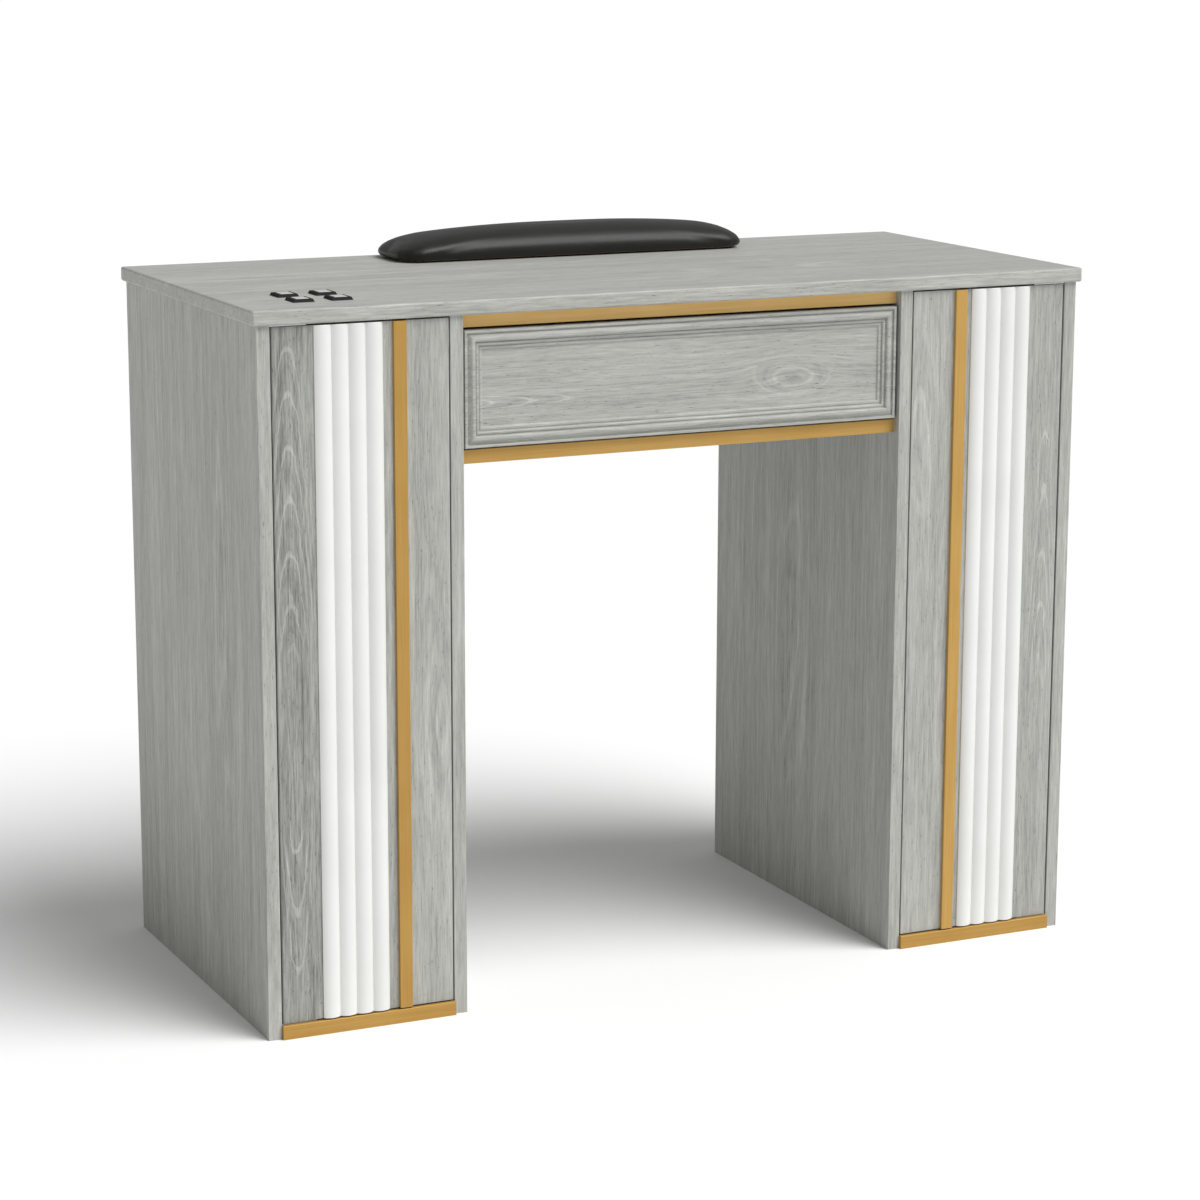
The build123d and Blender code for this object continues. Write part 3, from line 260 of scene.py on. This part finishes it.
def knot_bend(look, parts, axis, knots):
    """How far the grain steps aside round each knot, and where the knots' rings show.

    A knot is: its cross axis, its place across and along the grain, its size across and along,
    how much it spreads the grain, how far it lifts it, and how many rings it adds."""
    bends, rings, near = [0.0, 0.0, 0.0], 0.0, 0.0
    for cross, across, along, size_across, size_along, spread, lift, count in knots:
        offset = look.math("SUBTRACT", parts[cross], across)
        a = look.math("DIVIDE", offset, size_across)
        b = look.math("DIVIDE", look.math("SUBTRACT", parts[axis], along), size_along)
        away = look.total(look.math("MULTIPLY", a, a), look.math("MULTIPLY", b, b))
        hill = look.math("EXPONENT", look.math("MULTIPLY", away, -1.0))
        push = look.math("MULTIPLY", hill, look.math("MULTIPLY_ADD", offset, spread, lift))
        bends[cross] = look.math("ADD", push, bends[cross])
        rings = look.math("ADD", look.math("MULTIPLY", hill, count), rings)
        near = look.math("MAXIMUM", look.step(hill, 0.15, 0.7), near)
    return bends, rings, near


def arch_field(look, parts, axis, arches):
    """Pale and dark lines nested as arches, on a band darkened by painted shade.

    An arch is: its cross axis, its centre across and its tip along the grain, its half width,
    the lines' spacing, which way it opens, its reach in spacings, and its painted shade on the
    band."""
    lines = 0.0
    for cross, centre, tip, width, spacing, way, reach, painted_shade in arches:
        side = look.math("DIVIDE", look.math("SUBTRACT", parts[cross], centre), width)
        along = look.math("SUBTRACT", parts[axis], tip)
        ahead = look.math("MULTIPLY", along, way / spacing)
        wander = look.swing(look.place, 1.0, scale=30.0, detail=3.0, roughness=0.6)
        bow = look.math("MULTIPLY", look.math("MULTIPLY", side, side), -1.0)
        inside = look.total(ahead, bow, wander)
        wave = look.math("SINE", look.math("MULTIPLY", inside, 2 * math.pi))
        fade = look.step(ahead, 0.75 * reach, reach, 1.0, 0.0)
        shown = look.math("MULTIPLY", look.step(inside, 0.0, 0.35), fade)
        pale = look.step(wave, 0.72, 1.0, 0.0, ARCH_PALE)
        dark = look.step(wave, -0.6, -1.0, 0.0, ARCH_DARK)
        # Painted shade: the band along the arch is darkened by the arch's last value.
        band = look.step(look.math("ABSOLUTE", side), 2.2, 3.4, painted_shade, 0.0)
        lines = look.total(look.math("MULTIPLY", look.total(pale, dark), shown), band, lines)
    return lines


def laminate(name, along, shift, knots, arches, figure):
    """Grey wood grain that runs along one axis: bands, fibres, ring lines and pores."""
    look = Look(name, Specular_IOR_Level=0.30)
    axis = "XYZ".index(along)
    parts = look.node("ShaderNodeSeparateXYZ", look.place).outputs
    bends, rings, near = knot_bend(look, parts, axis, knots)
    bend = look.node("ShaderNodeCombineXYZ", *bends).outputs[0]
    moved = look.vector("ADD", look.vector("SUBTRACT", look.place, bend), shift)

    def grain(across, length):
        scales = [1 / across] * 3
        scales[axis] = 1 / length
        return look.vector("MULTIPLY", moved, scales)

    drift = look.swing(grain(*DRIFT_SIZE), DRIFT_GAIN, detail=1.5)
    tremble = look.swing(grain(*TREMBLE_SIZE), TREMBLE_GAIN, detail=3.0, roughness=0.6)
    field = look.total(drift, tremble, rings)
    wave = look.math("SINE", look.math("MULTIPLY", field, 2 * math.pi))
    patch = look.step(look.noise(grain(*PATCH_SIZE), detail=1.0), 0.50, 0.64, 0.0, figure)
    shown = look.math("MAXIMUM", patch, near)
    pale_line = look.step(wave, 0.60, 1.0, 0.0, RING_PALE)
    dark_line = look.step(wave, -0.70, -1.0, 0.0, RING_DARK)
    lines = look.math("MULTIPLY", look.total(pale_line, dark_line), shown)
    bands = look.swing(grain(*BAND_SIZE), BAND_GAIN, detail=2.0)
    streaks = look.swing(grain(*STREAK_SIZE), STREAK_GAIN, detail=4.0, roughness=0.6)
    fibres = look.swing(grain(*FIBRE_SIZE), FIBRE_GAIN, detail=4.0, roughness=0.65)
    pores = look.step(look.noise(grain(*PORE_SIZE), detail=1.0), 0.66, 0.78, 0.0, PORE_GAIN)
    arched = arch_field(look, parts, axis, arches)
    value = look.total(bands, streaks, fibres, lines, arched, pores, 0.5)
    look.colour(look.ramp(value, *WOOD_TONES))
    look.roughness(look.math("MULTIPLY_ADD", value, -0.10, WOOD_ROUGHNESS))
    look.bump(look.total(fibres, pores), 0.00006, 0.7)
    return look.material


# ---- other materials
GOLD_TONES = ((0.25, (178, 136, 62)), (0.5, (191, 150, 78)), (0.8, (204, 165, 96)))
PLY_PAIR = 3.0 * MM


def gold(name, along, lift):
    """Satin gold film, faint streaks; lift adds display levels: painted light above zero, painted
    shade below.
    """
    look = Look(name, Metallic=0.2, Specular_IOR_Level=0.45)
    scales = [1 / 0.0015] * 3
    scales["XYZ".index(along)] = 1 / 0.12
    streaks = look.noise(look.vector("MULTIPLY", look.place, scales), detail=3.0, roughness=0.6)
    cloud = look.noise(look.place, scale=14.0, detail=2.0)
    stops = [(place, tone(*(part + lift for part in colour))) for place, colour in GOLD_TONES]
    look.colour(look.ramp(look.mix((streaks, 0.7), (cloud, 0.3)), *stops))
    look.roughness(look.math("MULTIPLY_ADD", streaks, 0.14, 0.38))
    look.bump(streaks, 0.00002, 0.5)
    return look.material


def lacquer():
    """Satin white lacquer with a faint orange peel."""
    look = Look(
        "white_lacquer_satin", Specular_IOR_Level=0.45, Coat_Weight=0.15, Coat_Roughness=0.25,
    )
    cloud = look.noise(look.place, scale=9.0, detail=3.0)
    look.colour(look.ramp(cloud, (0.3, tone(220, 221, 218)), (0.7, tone(226, 227, 224))))
    peel = look.noise(look.place, scale=420.0, detail=2.0)
    look.roughness(look.math("MULTIPLY_ADD", peel, 0.12, 0.36))
    look.bump(peel, 0.00004, 0.5)
    return look.material


def leather():
    """Soft black upholstery leather: pebbled grain, fine creases, a broad soft gloss."""
    look = Look(
        "black_leather_soft", Specular_IOR_Level=0.32, Sheen_Weight=0.05, Sheen_Roughness=0.5,
    )
    warp = look.swing(look.place, 0.0012, scale=160.0, detail=2.0)
    nudge = look.node("ShaderNodeCombineXYZ", warp, warp, warp).outputs[0]
    bent = look.vector("ADD", look.place, nudge)
    pebbles = look.step(look.cells(bent, 720.0, "DISTANCE_TO_EDGE"), 0.0, 0.22)
    creases = look.noise(look.place, scale=90.0, detail=4.0, roughness=0.6, distortion=0.6)
    cloud = look.noise(look.place, scale=12.0, detail=3.0)
    look.colour(look.ramp(
        look.mix((pebbles, 0.35), (cloud, 0.65)),
        (0.2, tone(12, 13, 11)), (0.6, tone(22, 23, 20)), (0.9, tone(33, 34, 30)),
    ))
    clouded = look.math("MULTIPLY_ADD", cloud, 0.14, 0.38)
    look.roughness(look.math("MULTIPLY_ADD", pebbles, -0.10, clouded))
    look.bump(look.total(pebbles, look.math("MULTIPLY", creases, 1.4)), 0.00010, 0.55)
    return look.material


def plastic(name, dark, light, rough, depth=0.00003, gloss=0.5):
    """Moulded plastic with a fine spark-eroded texture."""
    look = Look(name, Specular_IOR_Level=gloss)
    fine = look.noise(look.place, scale=900.0, detail=2.0)
    cloud = look.noise(look.place, scale=25.0, detail=3.0)
    look.colour(look.ramp(look.mix((fine, 0.3), (cloud, 0.7)), (0.3, dark), (0.7, light)))
    look.roughness(look.math("MULTIPLY_ADD", fine, 0.2, rough - 0.1))
    look.bump(fine, depth, 0.6)
    return look.material


def steel(name, dark, light, rough):
    """Plated steel: faint crystals, rolling marks and a cloudy sheen."""
    look = Look(name, Metallic=1.0)
    crystals = look.cells(look.place, 260.0)
    rolled = look.noise(look.vector("MULTIPLY", look.place, (900.0, 12.0, 900.0)), detail=2.0)
    cloud = look.noise(look.place, scale=40.0, detail=3.0)
    value = look.mix((crystals, 0.35), (rolled, 0.25), (cloud, 0.4))
    look.colour(look.ramp(value, (0.25, dark), (0.65, light)))
    look.roughness(look.math("MULTIPLY_ADD", value, 0.22, rough - 0.1))
    look.bump(rolled, 0.00001, 0.4)
    return look.material


def hardboard():
    """Thin board with a pale grey printed face."""
    look = Look("thin_hardboard_grey", Specular_IOR_Level=0.25)
    drawn = look.vector("MULTIPLY", look.place, (500.0, 500.0, 18.0))
    fibres = look.noise(drawn, detail=3.0, roughness=0.6)
    felt = look.noise(look.place, scale=700.0, detail=2.0)
    cloud = look.noise(look.place, scale=6.0, detail=3.0)
    look.colour(look.ramp(
        look.mix((fibres, 0.55), (felt, 0.15), (cloud, 0.3)),
        (0.3, tone(150, 150, 144)), (0.5, tone(166, 166, 160)), (0.75, tone(184, 184, 178)),
    ))
    look.roughness(look.math("MULTIPLY_ADD", felt, 0.15, 0.55))
    look.bump(look.total(fibres, felt), 0.00005, 0.6)
    return look.material


def plywood():
    """Plywood: plies show as bands over the thickness, fibres run along the board."""
    look = Look("rest_plywood_birch", Specular_IOR_Level=0.3)
    up = look.node("ShaderNodeSeparateXYZ", look.place).outputs[2]
    wave = look.math("SINE", look.math("MULTIPLY", up, 2 * math.pi / PLY_PAIR))
    plies = look.step(wave, -0.4, 0.4, 0.0, 0.35)
    drawn = look.vector("MULTIPLY", look.place, (22.0, 800.0, 800.0))
    fibres = look.noise(drawn, detail=4.0, roughness=0.6)
    look.colour(look.ramp(
        look.total(look.math("MULTIPLY", fibres, 0.8), plies),
        (0.2, tone(150, 118, 78)), (0.5, tone(196, 164, 118)), (0.9, tone(222, 196, 154)),
    ))
    look.roughness(look.math("MULTIPLY_ADD", fibres, 0.2, 0.55))
    look.bump(fibres, 0.00008, 0.7)
    return look.material


def rubber():
    """Black rubber with a matt, fine grain."""
    look = Look("foot_rubber_black", Specular_IOR_Level=0.3)
    grain = look.noise(look.place, scale=1400.0, detail=2.0)
    look.colour(look.ramp(grain, (0.3, tone(26, 26, 26)), (0.7, tone(42, 42, 42))))
    look.roughness(look.math("MULTIPLY_ADD", grain, 0.2, 0.6))
    look.bump(grain, 0.00005, 0.7)
    return look.material


# ---- which material goes where: by slot, but wood and gold node by node
SHARED = {
    "thin_hardboard": hardboard(),
    "white_lacquer": lacquer(),
    "zinc_plated_steel": steel(
        "zinc_plated_steel_look", tone(178, 182, 188), tone(214, 216, 220), 0.36,
    ),
    "fastener_steel": steel(
        "fastener_steel_look", tone(168, 168, 168), tone(206, 205, 202), 0.32,
    ),
    "latch_plastic": plastic(
        "latch_plastic_pale", tone(196, 196, 192), tone(210, 210, 206), 0.5,
    ),
    "plunger_plastic": plastic(
        "plunger_plastic_grey", tone(108, 109, 111), tone(124, 125, 127), 0.42,
    ),
    "switch_black": plastic(
        "switch_black_gloss", tone(8, 8, 8), tone(15, 15, 15), 0.50, gloss=0.14,
    ),
    "switch_cap_grey": plastic(
        "switch_cap_pale", tone(184, 185, 184), tone(196, 197, 195), 0.42,
    ),
    "cover_plastic": plastic(
        "cover_plastic_grey", tone(188, 188, 185), tone(202, 202, 199), 0.55, depth=0.00006,
    ),
    "rest_plywood": plywood(),
    "black_leather": leather(),
    "foot_rubber": rubber(),
}
WOOD_SLOTS = ("worktop_laminate", "grey_laminate", "drawer_front_foil", "drawer_board")

# Knots and arches, with their values in the order that knot_bend and arch_field give.
GRAIN_KNOTS = {
    "left_door": ((0, -0.2960, 0.330, 0.020, 0.090, 0.45, 0.0, 1.5),),
    "right_door": ((0, 0.2960, 0.600, 0.016, 0.120, 0.45, 0.0, 1.5),),
    "drawer_front": ((2, 0.6780, 0.133, 0.024, 0.055, 0.60, 0.008, 3.0),),
    "worktop": (
        (1, 0.0600, -0.330, 0.030, 0.190, 0.50, 0.0, 1.0),
        (1, -0.0700, 0.260, 0.026, 0.210, 0.50, 0.0, 1.0),
    ),
    "right_inner_side": ((1, 0.0200, 0.330, 0.050, 0.200, 0.45, 0.0, 2.0),),
    "left_outer_side": ((1, -0.1000, 0.430, 0.045, 0.260, 0.45, 0.0, 2.0),),
}
# Each arch's last value is painted shade: a darker band on the left door's first arch, a faint
# one on the right door's.
GRAIN_ARCHES = {
    "left_door": (
        (0, -0.4615, 0.768, 0.0130, 0.055, -1.0, 7.0, -0.24),
        (0, -0.4600, 0.060, 0.0120, 0.065, 1.0, 3.0, 0.0),
    ),
    "right_door": ((0, 0.4600, 0.620, 0.0100, 0.070, -1.0, 5.0, -0.06),),
    "drawer_front": ((2, 0.6720, -0.126, 0.0065, 0.045, -1.0, 3.0, 0.0),),
}

# Boards whose grain runs along X or Y; it runs along Z in all the others.
LYING_GRAIN = (
    "worktop", "drawer_front", "upper_front_rail", "lower_front_rail", "rear_rail",
    "drawer_box_front", "drawer_back",
)
DEPTH_GRAIN = (
    "left_drawer_side", "right_drawer_side", "left_shelf", "right_shelf",
    "left_bottom_board", "right_bottom_board",
)
# Each board's grain is moved by a different multiple of this, so that no two look alike.
GRAIN_SHIFT = (0.37, 0.61, 0.23)
# How strongly ring lines show, on the drawer's plain boards and on the others.
PLAIN_FIGURE = 0.2
BOARD_FIGURE = 0.6

# Display levels added to the gold, as painted light and shade. The top rail stands in the
# worktop's shade and is painted paler to cancel it; the left strip and the kick trims are painted
# a shade deeper.
GOLD_PAINTED_LIGHT_AND_SHADE = {
    "upper_rail_trim": 34.0,
    "left_door_strip": -12.0,
    "left_kick_trim": -12.0,
    "right_kick_trim": -12.0,
}


def grain_axis(node):
    if node in LYING_GRAIN:
        return "X"
    return "Y" if node in DEPTH_GRAIN else "Z"


def paint_nodes():
    """Gives every CAD node a material for the slot the record names."""
    for index, (node, thing) in enumerate(sorted(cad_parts.items())):
        slot = thing.data.materials[0].name
        if slot in WOOD_SLOTS:
            shift = [part * index for part in GRAIN_SHIFT]
            figure = PLAIN_FIGURE if slot == "drawer_board" else BOARD_FIGURE
            knots, arches = GRAIN_KNOTS.get(node, ()), GRAIN_ARCHES.get(node, ())
            along = grain_axis(node)
            material = laminate(f"{slot}_{node}", along, shift, knots, arches, figure)
        elif slot == "gold_trim":
            # The gold's lift is painted light on the top rail and painted shade on the left strip
            # and kick trims.
            along = "Z" if "strip" in node else "X"
            material = gold(f"gold_trim_{node}", along, GOLD_PAINTED_LIGHT_AND_SHADE.get(node, 0.0))
        else:
            material = SHARED[slot]
        thing.data.materials[0] = material


# ---- fluted door panels
FLUTES = 4
FLUTE_BASE = 1.2 * MM
FLUTE_EDGE = 0.5 * MM
FLUTE_STEPS = 20


def fluted_section(low, high):
    """The outline of a panel seen from above: a flat back and convex ribs."""
    pitch = (high.x - low.x) / FLUTES
    valley = high.y - FLUTE_BASE
    rise = valley - low.y
    radius = ((pitch / 2) ** 2 + rise ** 2) / (2 * rise)
    half_angle = math.asin(pitch / 2 / radius)
    section = [(low.x, high.y)]
    for rib in range(FLUTES):
        centre = low.x + (rib + 0.5) * pitch
        for step in range(FLUTE_STEPS + (rib == FLUTES - 1)):
            angle = half_angle * (2 * step / FLUTE_STEPS - 1)
            x = centre + radius * math.sin(angle)
            section.append((x, low.y + radius * (1 - math.cos(angle))))
    section.append((high.x, high.y))
    return section


def fluted_panel(side):
    """One door's ribbed panel, with its top and bottom edges broken."""
    node = side + "_fluted_panel"
    low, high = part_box(node)
    levels = (
        (low.z, FLUTE_EDGE), (low.z + FLUTE_EDGE, 0.0),
        (high.z - FLUTE_EDGE, 0.0), (high.z, FLUTE_EDGE),
    )
    shape = bmesh.new()
    loops = [
        [shape.verts.new((x, min(y + inset, high.y), z)) for x, y in fluted_section(low, high)]
        for z, inset in levels
    ]
    skin(shape, loops)
    piece = new_piece(node + "_lacquered", mesh_of(node + "_lacquered", shape, 28.0),
                      side + "_door", "white_lacquer", node)
    piece.data.materials.append(SHARED["white_lacquer"])


# ---- drawer front: a mitred frame of beads and steps round a sunk panel
# The profile, run by run: how far in from the edge and how deep, in millimetres. Each run is one
# smooth curve, and they meet in sharp edges.
MOULDING_RUNS = (
    ((0.0, 1.9), (0.15, 1.45), (0.7, 1.25), (1.9, 1.25), (2.7, 1.35), (2.95, 1.7)),
    ((2.95, 1.7), (3.05, 3.5), (3.4, 3.8), (4.4, 3.6), (6.0, 2.2), (8.0, 0.5), (9.3, 0.0),
     (10.6, 0.1), (11.6, 0.6), (12.3, 1.4)),
    ((12.3, 1.4), (12.5, 3.4), (13.2, 3.7)),
    ((13.2, 3.7), (14.0, 3.1), (14.9, 2.9), (15.8, 3.0), (16.6, 3.6)),
    ((16.6, 3.6), (16.9, 5.3), (17.6, 5.6)),
    ((17.6, 5.6), (18.2, 5.1), (19.2, 4.95), (20.2, 5.1), (21.0, 5.6)),
    ((21.0, 5.6), (21.4, 6.6), (22.3, 6.95), (23.4, 7.0)),
)
MOULDING_STEPS = 4


def drawer_front():
    """Loops of four corners, one for each point of the moulding's profile."""
    low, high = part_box("drawer_front")
    shape = bmesh.new()

    def loop(inset, y):
        corners = (
            (low.x + inset, low.z + inset), (high.x - inset, low.z + inset),
            (high.x - inset, high.z - inset), (low.x + inset, high.z - inset),
        )
        return [shape.verts.new((x, y, z)) for x, z in corners]

    loops = [loop(0.0, high.y)]
    for run in MOULDING_RUNS:
        points = smooth_run([(inset * MM, depth * MM) for inset, depth in run], MOULDING_STEPS)
        if run is not MOULDING_RUNS[-1]:
            points = points[:-1]
        loops += [loop(inset, low.y + max(depth, 0.0)) for inset, depth in points]
    skin(shape, loops)
    piece = new_piece("drawer_front_carved", mesh_of("drawer_front_carved", shape, 24.0),
                      "drawer", "drawer_front_foil", "drawer_front")
    piece.data.materials.append(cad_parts["drawer_front"].data.materials[0])


# ---- wrist rest cushion: its shape
CUSHION_CORNER = 30.0 * MM
CUSHION_TURN = 6.0 * MM
CUSHION_POWER = 2.2
CUSHION_LEVELS = 18
CUSHION_RIDGE = 0.995
CUSHION_DROP = 0.42
CUSHION_DROP_POWER = 2.6
CUSHION_SHRINK = 1.0 * MM
# Its filling by cloth simulation.
CUSHION_VOXEL = 4.0 * MM
CUSHION_HELD = 2.5 * MM
CUSHION_PRESSURE = 4.0
CUSHION_FRAMES = 20
CUSHION_SWELL = 2.5 * MM
# The pocket for its base board.
BOARD_CORNER = 26.0 * MM
BOARD_PLAY = 0.15 * MM
BOARD_BELOW = 3.0 * MM


def cushion_mesh(low, high):
    """A closed dome, lower towards its ends: rounded outlines from the turned-in edge up."""
    middle = (low + high) / 2
    half_x, half_y = (high.x - low.x) / 2, (high.y - low.y) / 2
    rings = [(0.5 * CUSHION_TURN, 0.0), (0.15 * CUSHION_TURN, 0.35 * CUSHION_TURN)]
    dome = high.z - low.z - CUSHION_TURN
    for level in range(CUSHION_LEVELS):
        angle = math.pi / 2 * level / CUSHION_LEVELS
        share = 1 - math.cos(angle) ** (2 / CUSHION_POWER)
        rise = math.sin(angle) ** (2 / CUSHION_POWER)
        rings.append((half_y * share, CUSHION_TURN + dome * rise))
    rings.append((half_y * CUSHION_RIDGE, CUSHION_TURN + dome))
    shape = bmesh.new()
    loops = []
    for inset, height in rings:
        radius = min(CUSHION_CORNER, 0.98 * (half_y - inset))
        loop = []
        for p in rounded_outline(half_x - inset, half_y - inset, radius):
            crown = 1 - CUSHION_DROP * abs(p.x / half_x) ** CUSHION_DROP_POWER
            rise = min(height, CUSHION_TURN) + max(height - CUSHION_TURN, 0.0) * crown
            loop.append(shape.verts.new((middle.x + p.x, middle.y + p.y, low.z + rise)))
        loops.append(loop)
    skin(shape, loops)
    return mesh_of("wrist_rest_cushion", shape, 60.0)


def apply_modifiers(piece):
    """Replaces the piece's mesh with the one its modifiers give."""
    graph = bpy.context.evaluated_depsgraph_get()
    mesh = bpy.data.meshes.new_from_object(piece.evaluated_get(graph))
    piece.modifiers.clear()
    piece.data = mesh


def puff(piece, floor_z):
    """Fills the cushion by a short cloth simulation; the edge on the board stays put."""
    remesh = piece.modifiers.new("remesh", "REMESH")
    remesh.mode = "VOXEL"
    remesh.voxel_size = CUSHION_VOXEL
    apply_modifiers(piece)
    starts = [vertex.co.copy() for vertex in piece.data.vertices]
    held = piece.vertex_groups.new(name="held")
    pinned = [i for i, place in enumerate(starts) if place.z < floor_z + CUSHION_HELD]
    held.add(pinned, 1.0, "REPLACE")
    cloth = piece.modifiers.new("cloth", "CLOTH")
    settings = cloth.settings
    settings.use_pressure = True
    settings.uniform_pressure_force = CUSHION_PRESSURE
    settings.vertex_group_mass = "held"
    settings.effector_weights.gravity = 0.0
    settings.quality = 6
    cloth.point_cache.frame_start = 1
    cloth.point_cache.frame_end = CUSHION_FRAMES
    for number in range(1, CUSHION_FRAMES + 1):
        bpy.context.scene.frame_set(number)
    apply_modifiers(piece)
    for vertex, start in zip(piece.data.vertices, starts):
        move = vertex.co - start
        if move.length > CUSHION_SWELL:
            vertex.co = start + move * (CUSHION_SWELL / move.length)
    bpy.context.scene.frame_set(1)


def board_pocket(piece, low, high):
    """Cuts the space of the base board out of the cushion's underside."""
    middle = (low + high) / 2
    half_x, half_y = (high.x - low.x) / 2 + BOARD_PLAY, (high.y - low.y) / 2 + BOARD_PLAY
    outline = rounded_outline(half_x, half_y, BOARD_CORNER)
    shape = bmesh.new()
    skin(shape, [
        [shape.verts.new((middle.x + p.x, middle.y + p.y, z)) for p in outline]
        for z in (low.z - BOARD_BELOW, high.z + BOARD_PLAY)
    ])
    cutter = bpy.data.objects.new("pocket_cutter", mesh_of("pocket_cutter", shape))
    bpy.context.scene.collection.objects.link(cutter)
    cut = piece.modifiers.new("pocket", "BOOLEAN")
    cut.object = cutter
    cut.operation = "DIFFERENCE"
    cut.solver = "EXACT"
    apply_modifiers(piece)
    bpy.data.objects.remove(cutter)


def cushion():
    """The leather cushion: a dome, filled by simulation, kept in its box, with a pocket below."""
    low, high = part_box("wrist_rest_pad")
    board_low, board_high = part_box("wrist_rest_base")
    shrink = Vector((CUSHION_SHRINK, CUSHION_SHRINK, 0))
    top = Vector((0, 0, CUSHION_SHRINK))
    mesh = cushion_mesh(low + shrink, high - shrink - top)
    piece = bpy.data.objects.new("wrist_rest_cushion", mesh)
    bpy.context.scene.collection.objects.link(piece)
    puff(piece, low.z)
    smooth = piece.modifiers.new("smooth", "SMOOTH")
    smooth.factor = 0.5
    smooth.iterations = 3
    finer = piece.modifiers.new("finer", "SUBSURF")
    finer.levels = 1
    finer.render_levels = 1
    apply_modifiers(piece)
    for vertex in piece.data.vertices:
        place = vertex.co
        vertex.co = [min(max(place[i], low[i]), high[i]) for i in range(3)]
    board_pocket(piece, board_low, board_high)
    piece.data.shade_smooth()
    piece.data.set_sharp_from_angle(angle=math.radians(50))
    piece.data.materials.clear()
    piece.data.materials.append(SHARED["black_leather"])
    for polygon in piece.data.polygons:
        polygon.material_index = 0
    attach(piece, "root")
    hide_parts("wrist_rest_pad")


# ---- stage
def floor():
    """A wide, pale, matt disc at floor level."""
    shape = bmesh.new()
    rim = [
        shape.verts.new((FLOOR_RADIUS * math.cos(a), FLOOR_RADIUS * math.sin(a), 0.0))
        for a in (math.tau * i / FLOOR_SIDES for i in range(FLOOR_SIDES))
    ]
    shape.faces.new(rim)
    thing = bpy.data.objects.new("floor", mesh_of("floor", shape))
    bpy.context.scene.collection.objects.link(thing)
    look = Look("floor_pale", Specular_IOR_Level=0.0, Roughness=0.9)
    cloud = look.noise(look.place, scale=0.6, detail=2.0)
    look.colour(look.ramp(cloud, (0.3, tone(241, 241, 241)), (0.7, tone(244, 244, 244))))
    thing.data.materials.append(look.material)


def lights():
    """A white sky and one broad key light."""
    world = bpy.data.worlds.new("studio")
    world.use_nodes = True
    sky = world.node_tree.nodes["Background"]
    sky.inputs["Color"].default_value = (1.0, 1.0, 1.0, 1.0)
    sky.inputs["Strength"].default_value = SKY_STRENGTH
    bpy.context.scene.world = world
    data = bpy.data.lights.new("key", "SUN")
    data.energy = SUN_STRENGTH
    data.angle = SUN_SPREAD
    key = bpy.data.objects.new("key", data)
    key.rotation_euler = Vector(SUN_FROM).to_track_quat("Z", "Y").to_euler()
    bpy.context.scene.collection.objects.link(key)


def camera():
    """The camera: yaw turns it right from the Y axis, and pitch tips it down."""
    ahead = Vector((
        math.sin(CAMERA_YAW) * math.cos(CAMERA_PITCH),
        math.cos(CAMERA_YAW) * math.cos(CAMERA_PITCH),
        -math.sin(CAMERA_PITCH),
    ))
    level = Vector((math.cos(CAMERA_YAW), -math.sin(CAMERA_YAW), 0.0))
    upright = level.cross(ahead)
    right = level * math.cos(CAMERA_ROLL) + upright * math.sin(CAMERA_ROLL)
    up = upright * math.cos(CAMERA_ROLL) - level * math.sin(CAMERA_ROLL)
    data = bpy.data.cameras.new("camera")
    data.lens = CAMERA_LENS
    data.sensor_width = CAMERA_SENSOR
    data.clip_end = CAMERA_REACH
    thing = bpy.data.objects.new("camera", data)
    turn = Matrix((right, up, -ahead)).transposed().to_4x4()
    thing.matrix_world = Matrix.Translation(CAMERA_PLACE) @ turn
    bpy.context.scene.collection.objects.link(thing)
    bpy.context.scene.camera = thing


paint_nodes()
for door_side in ("left", "right"):
    fluted_panel(door_side)
drawer_front()
cushion()
floor()
lights()
camera()
bpy.context.scene.view_settings.view_transform = "Standard"
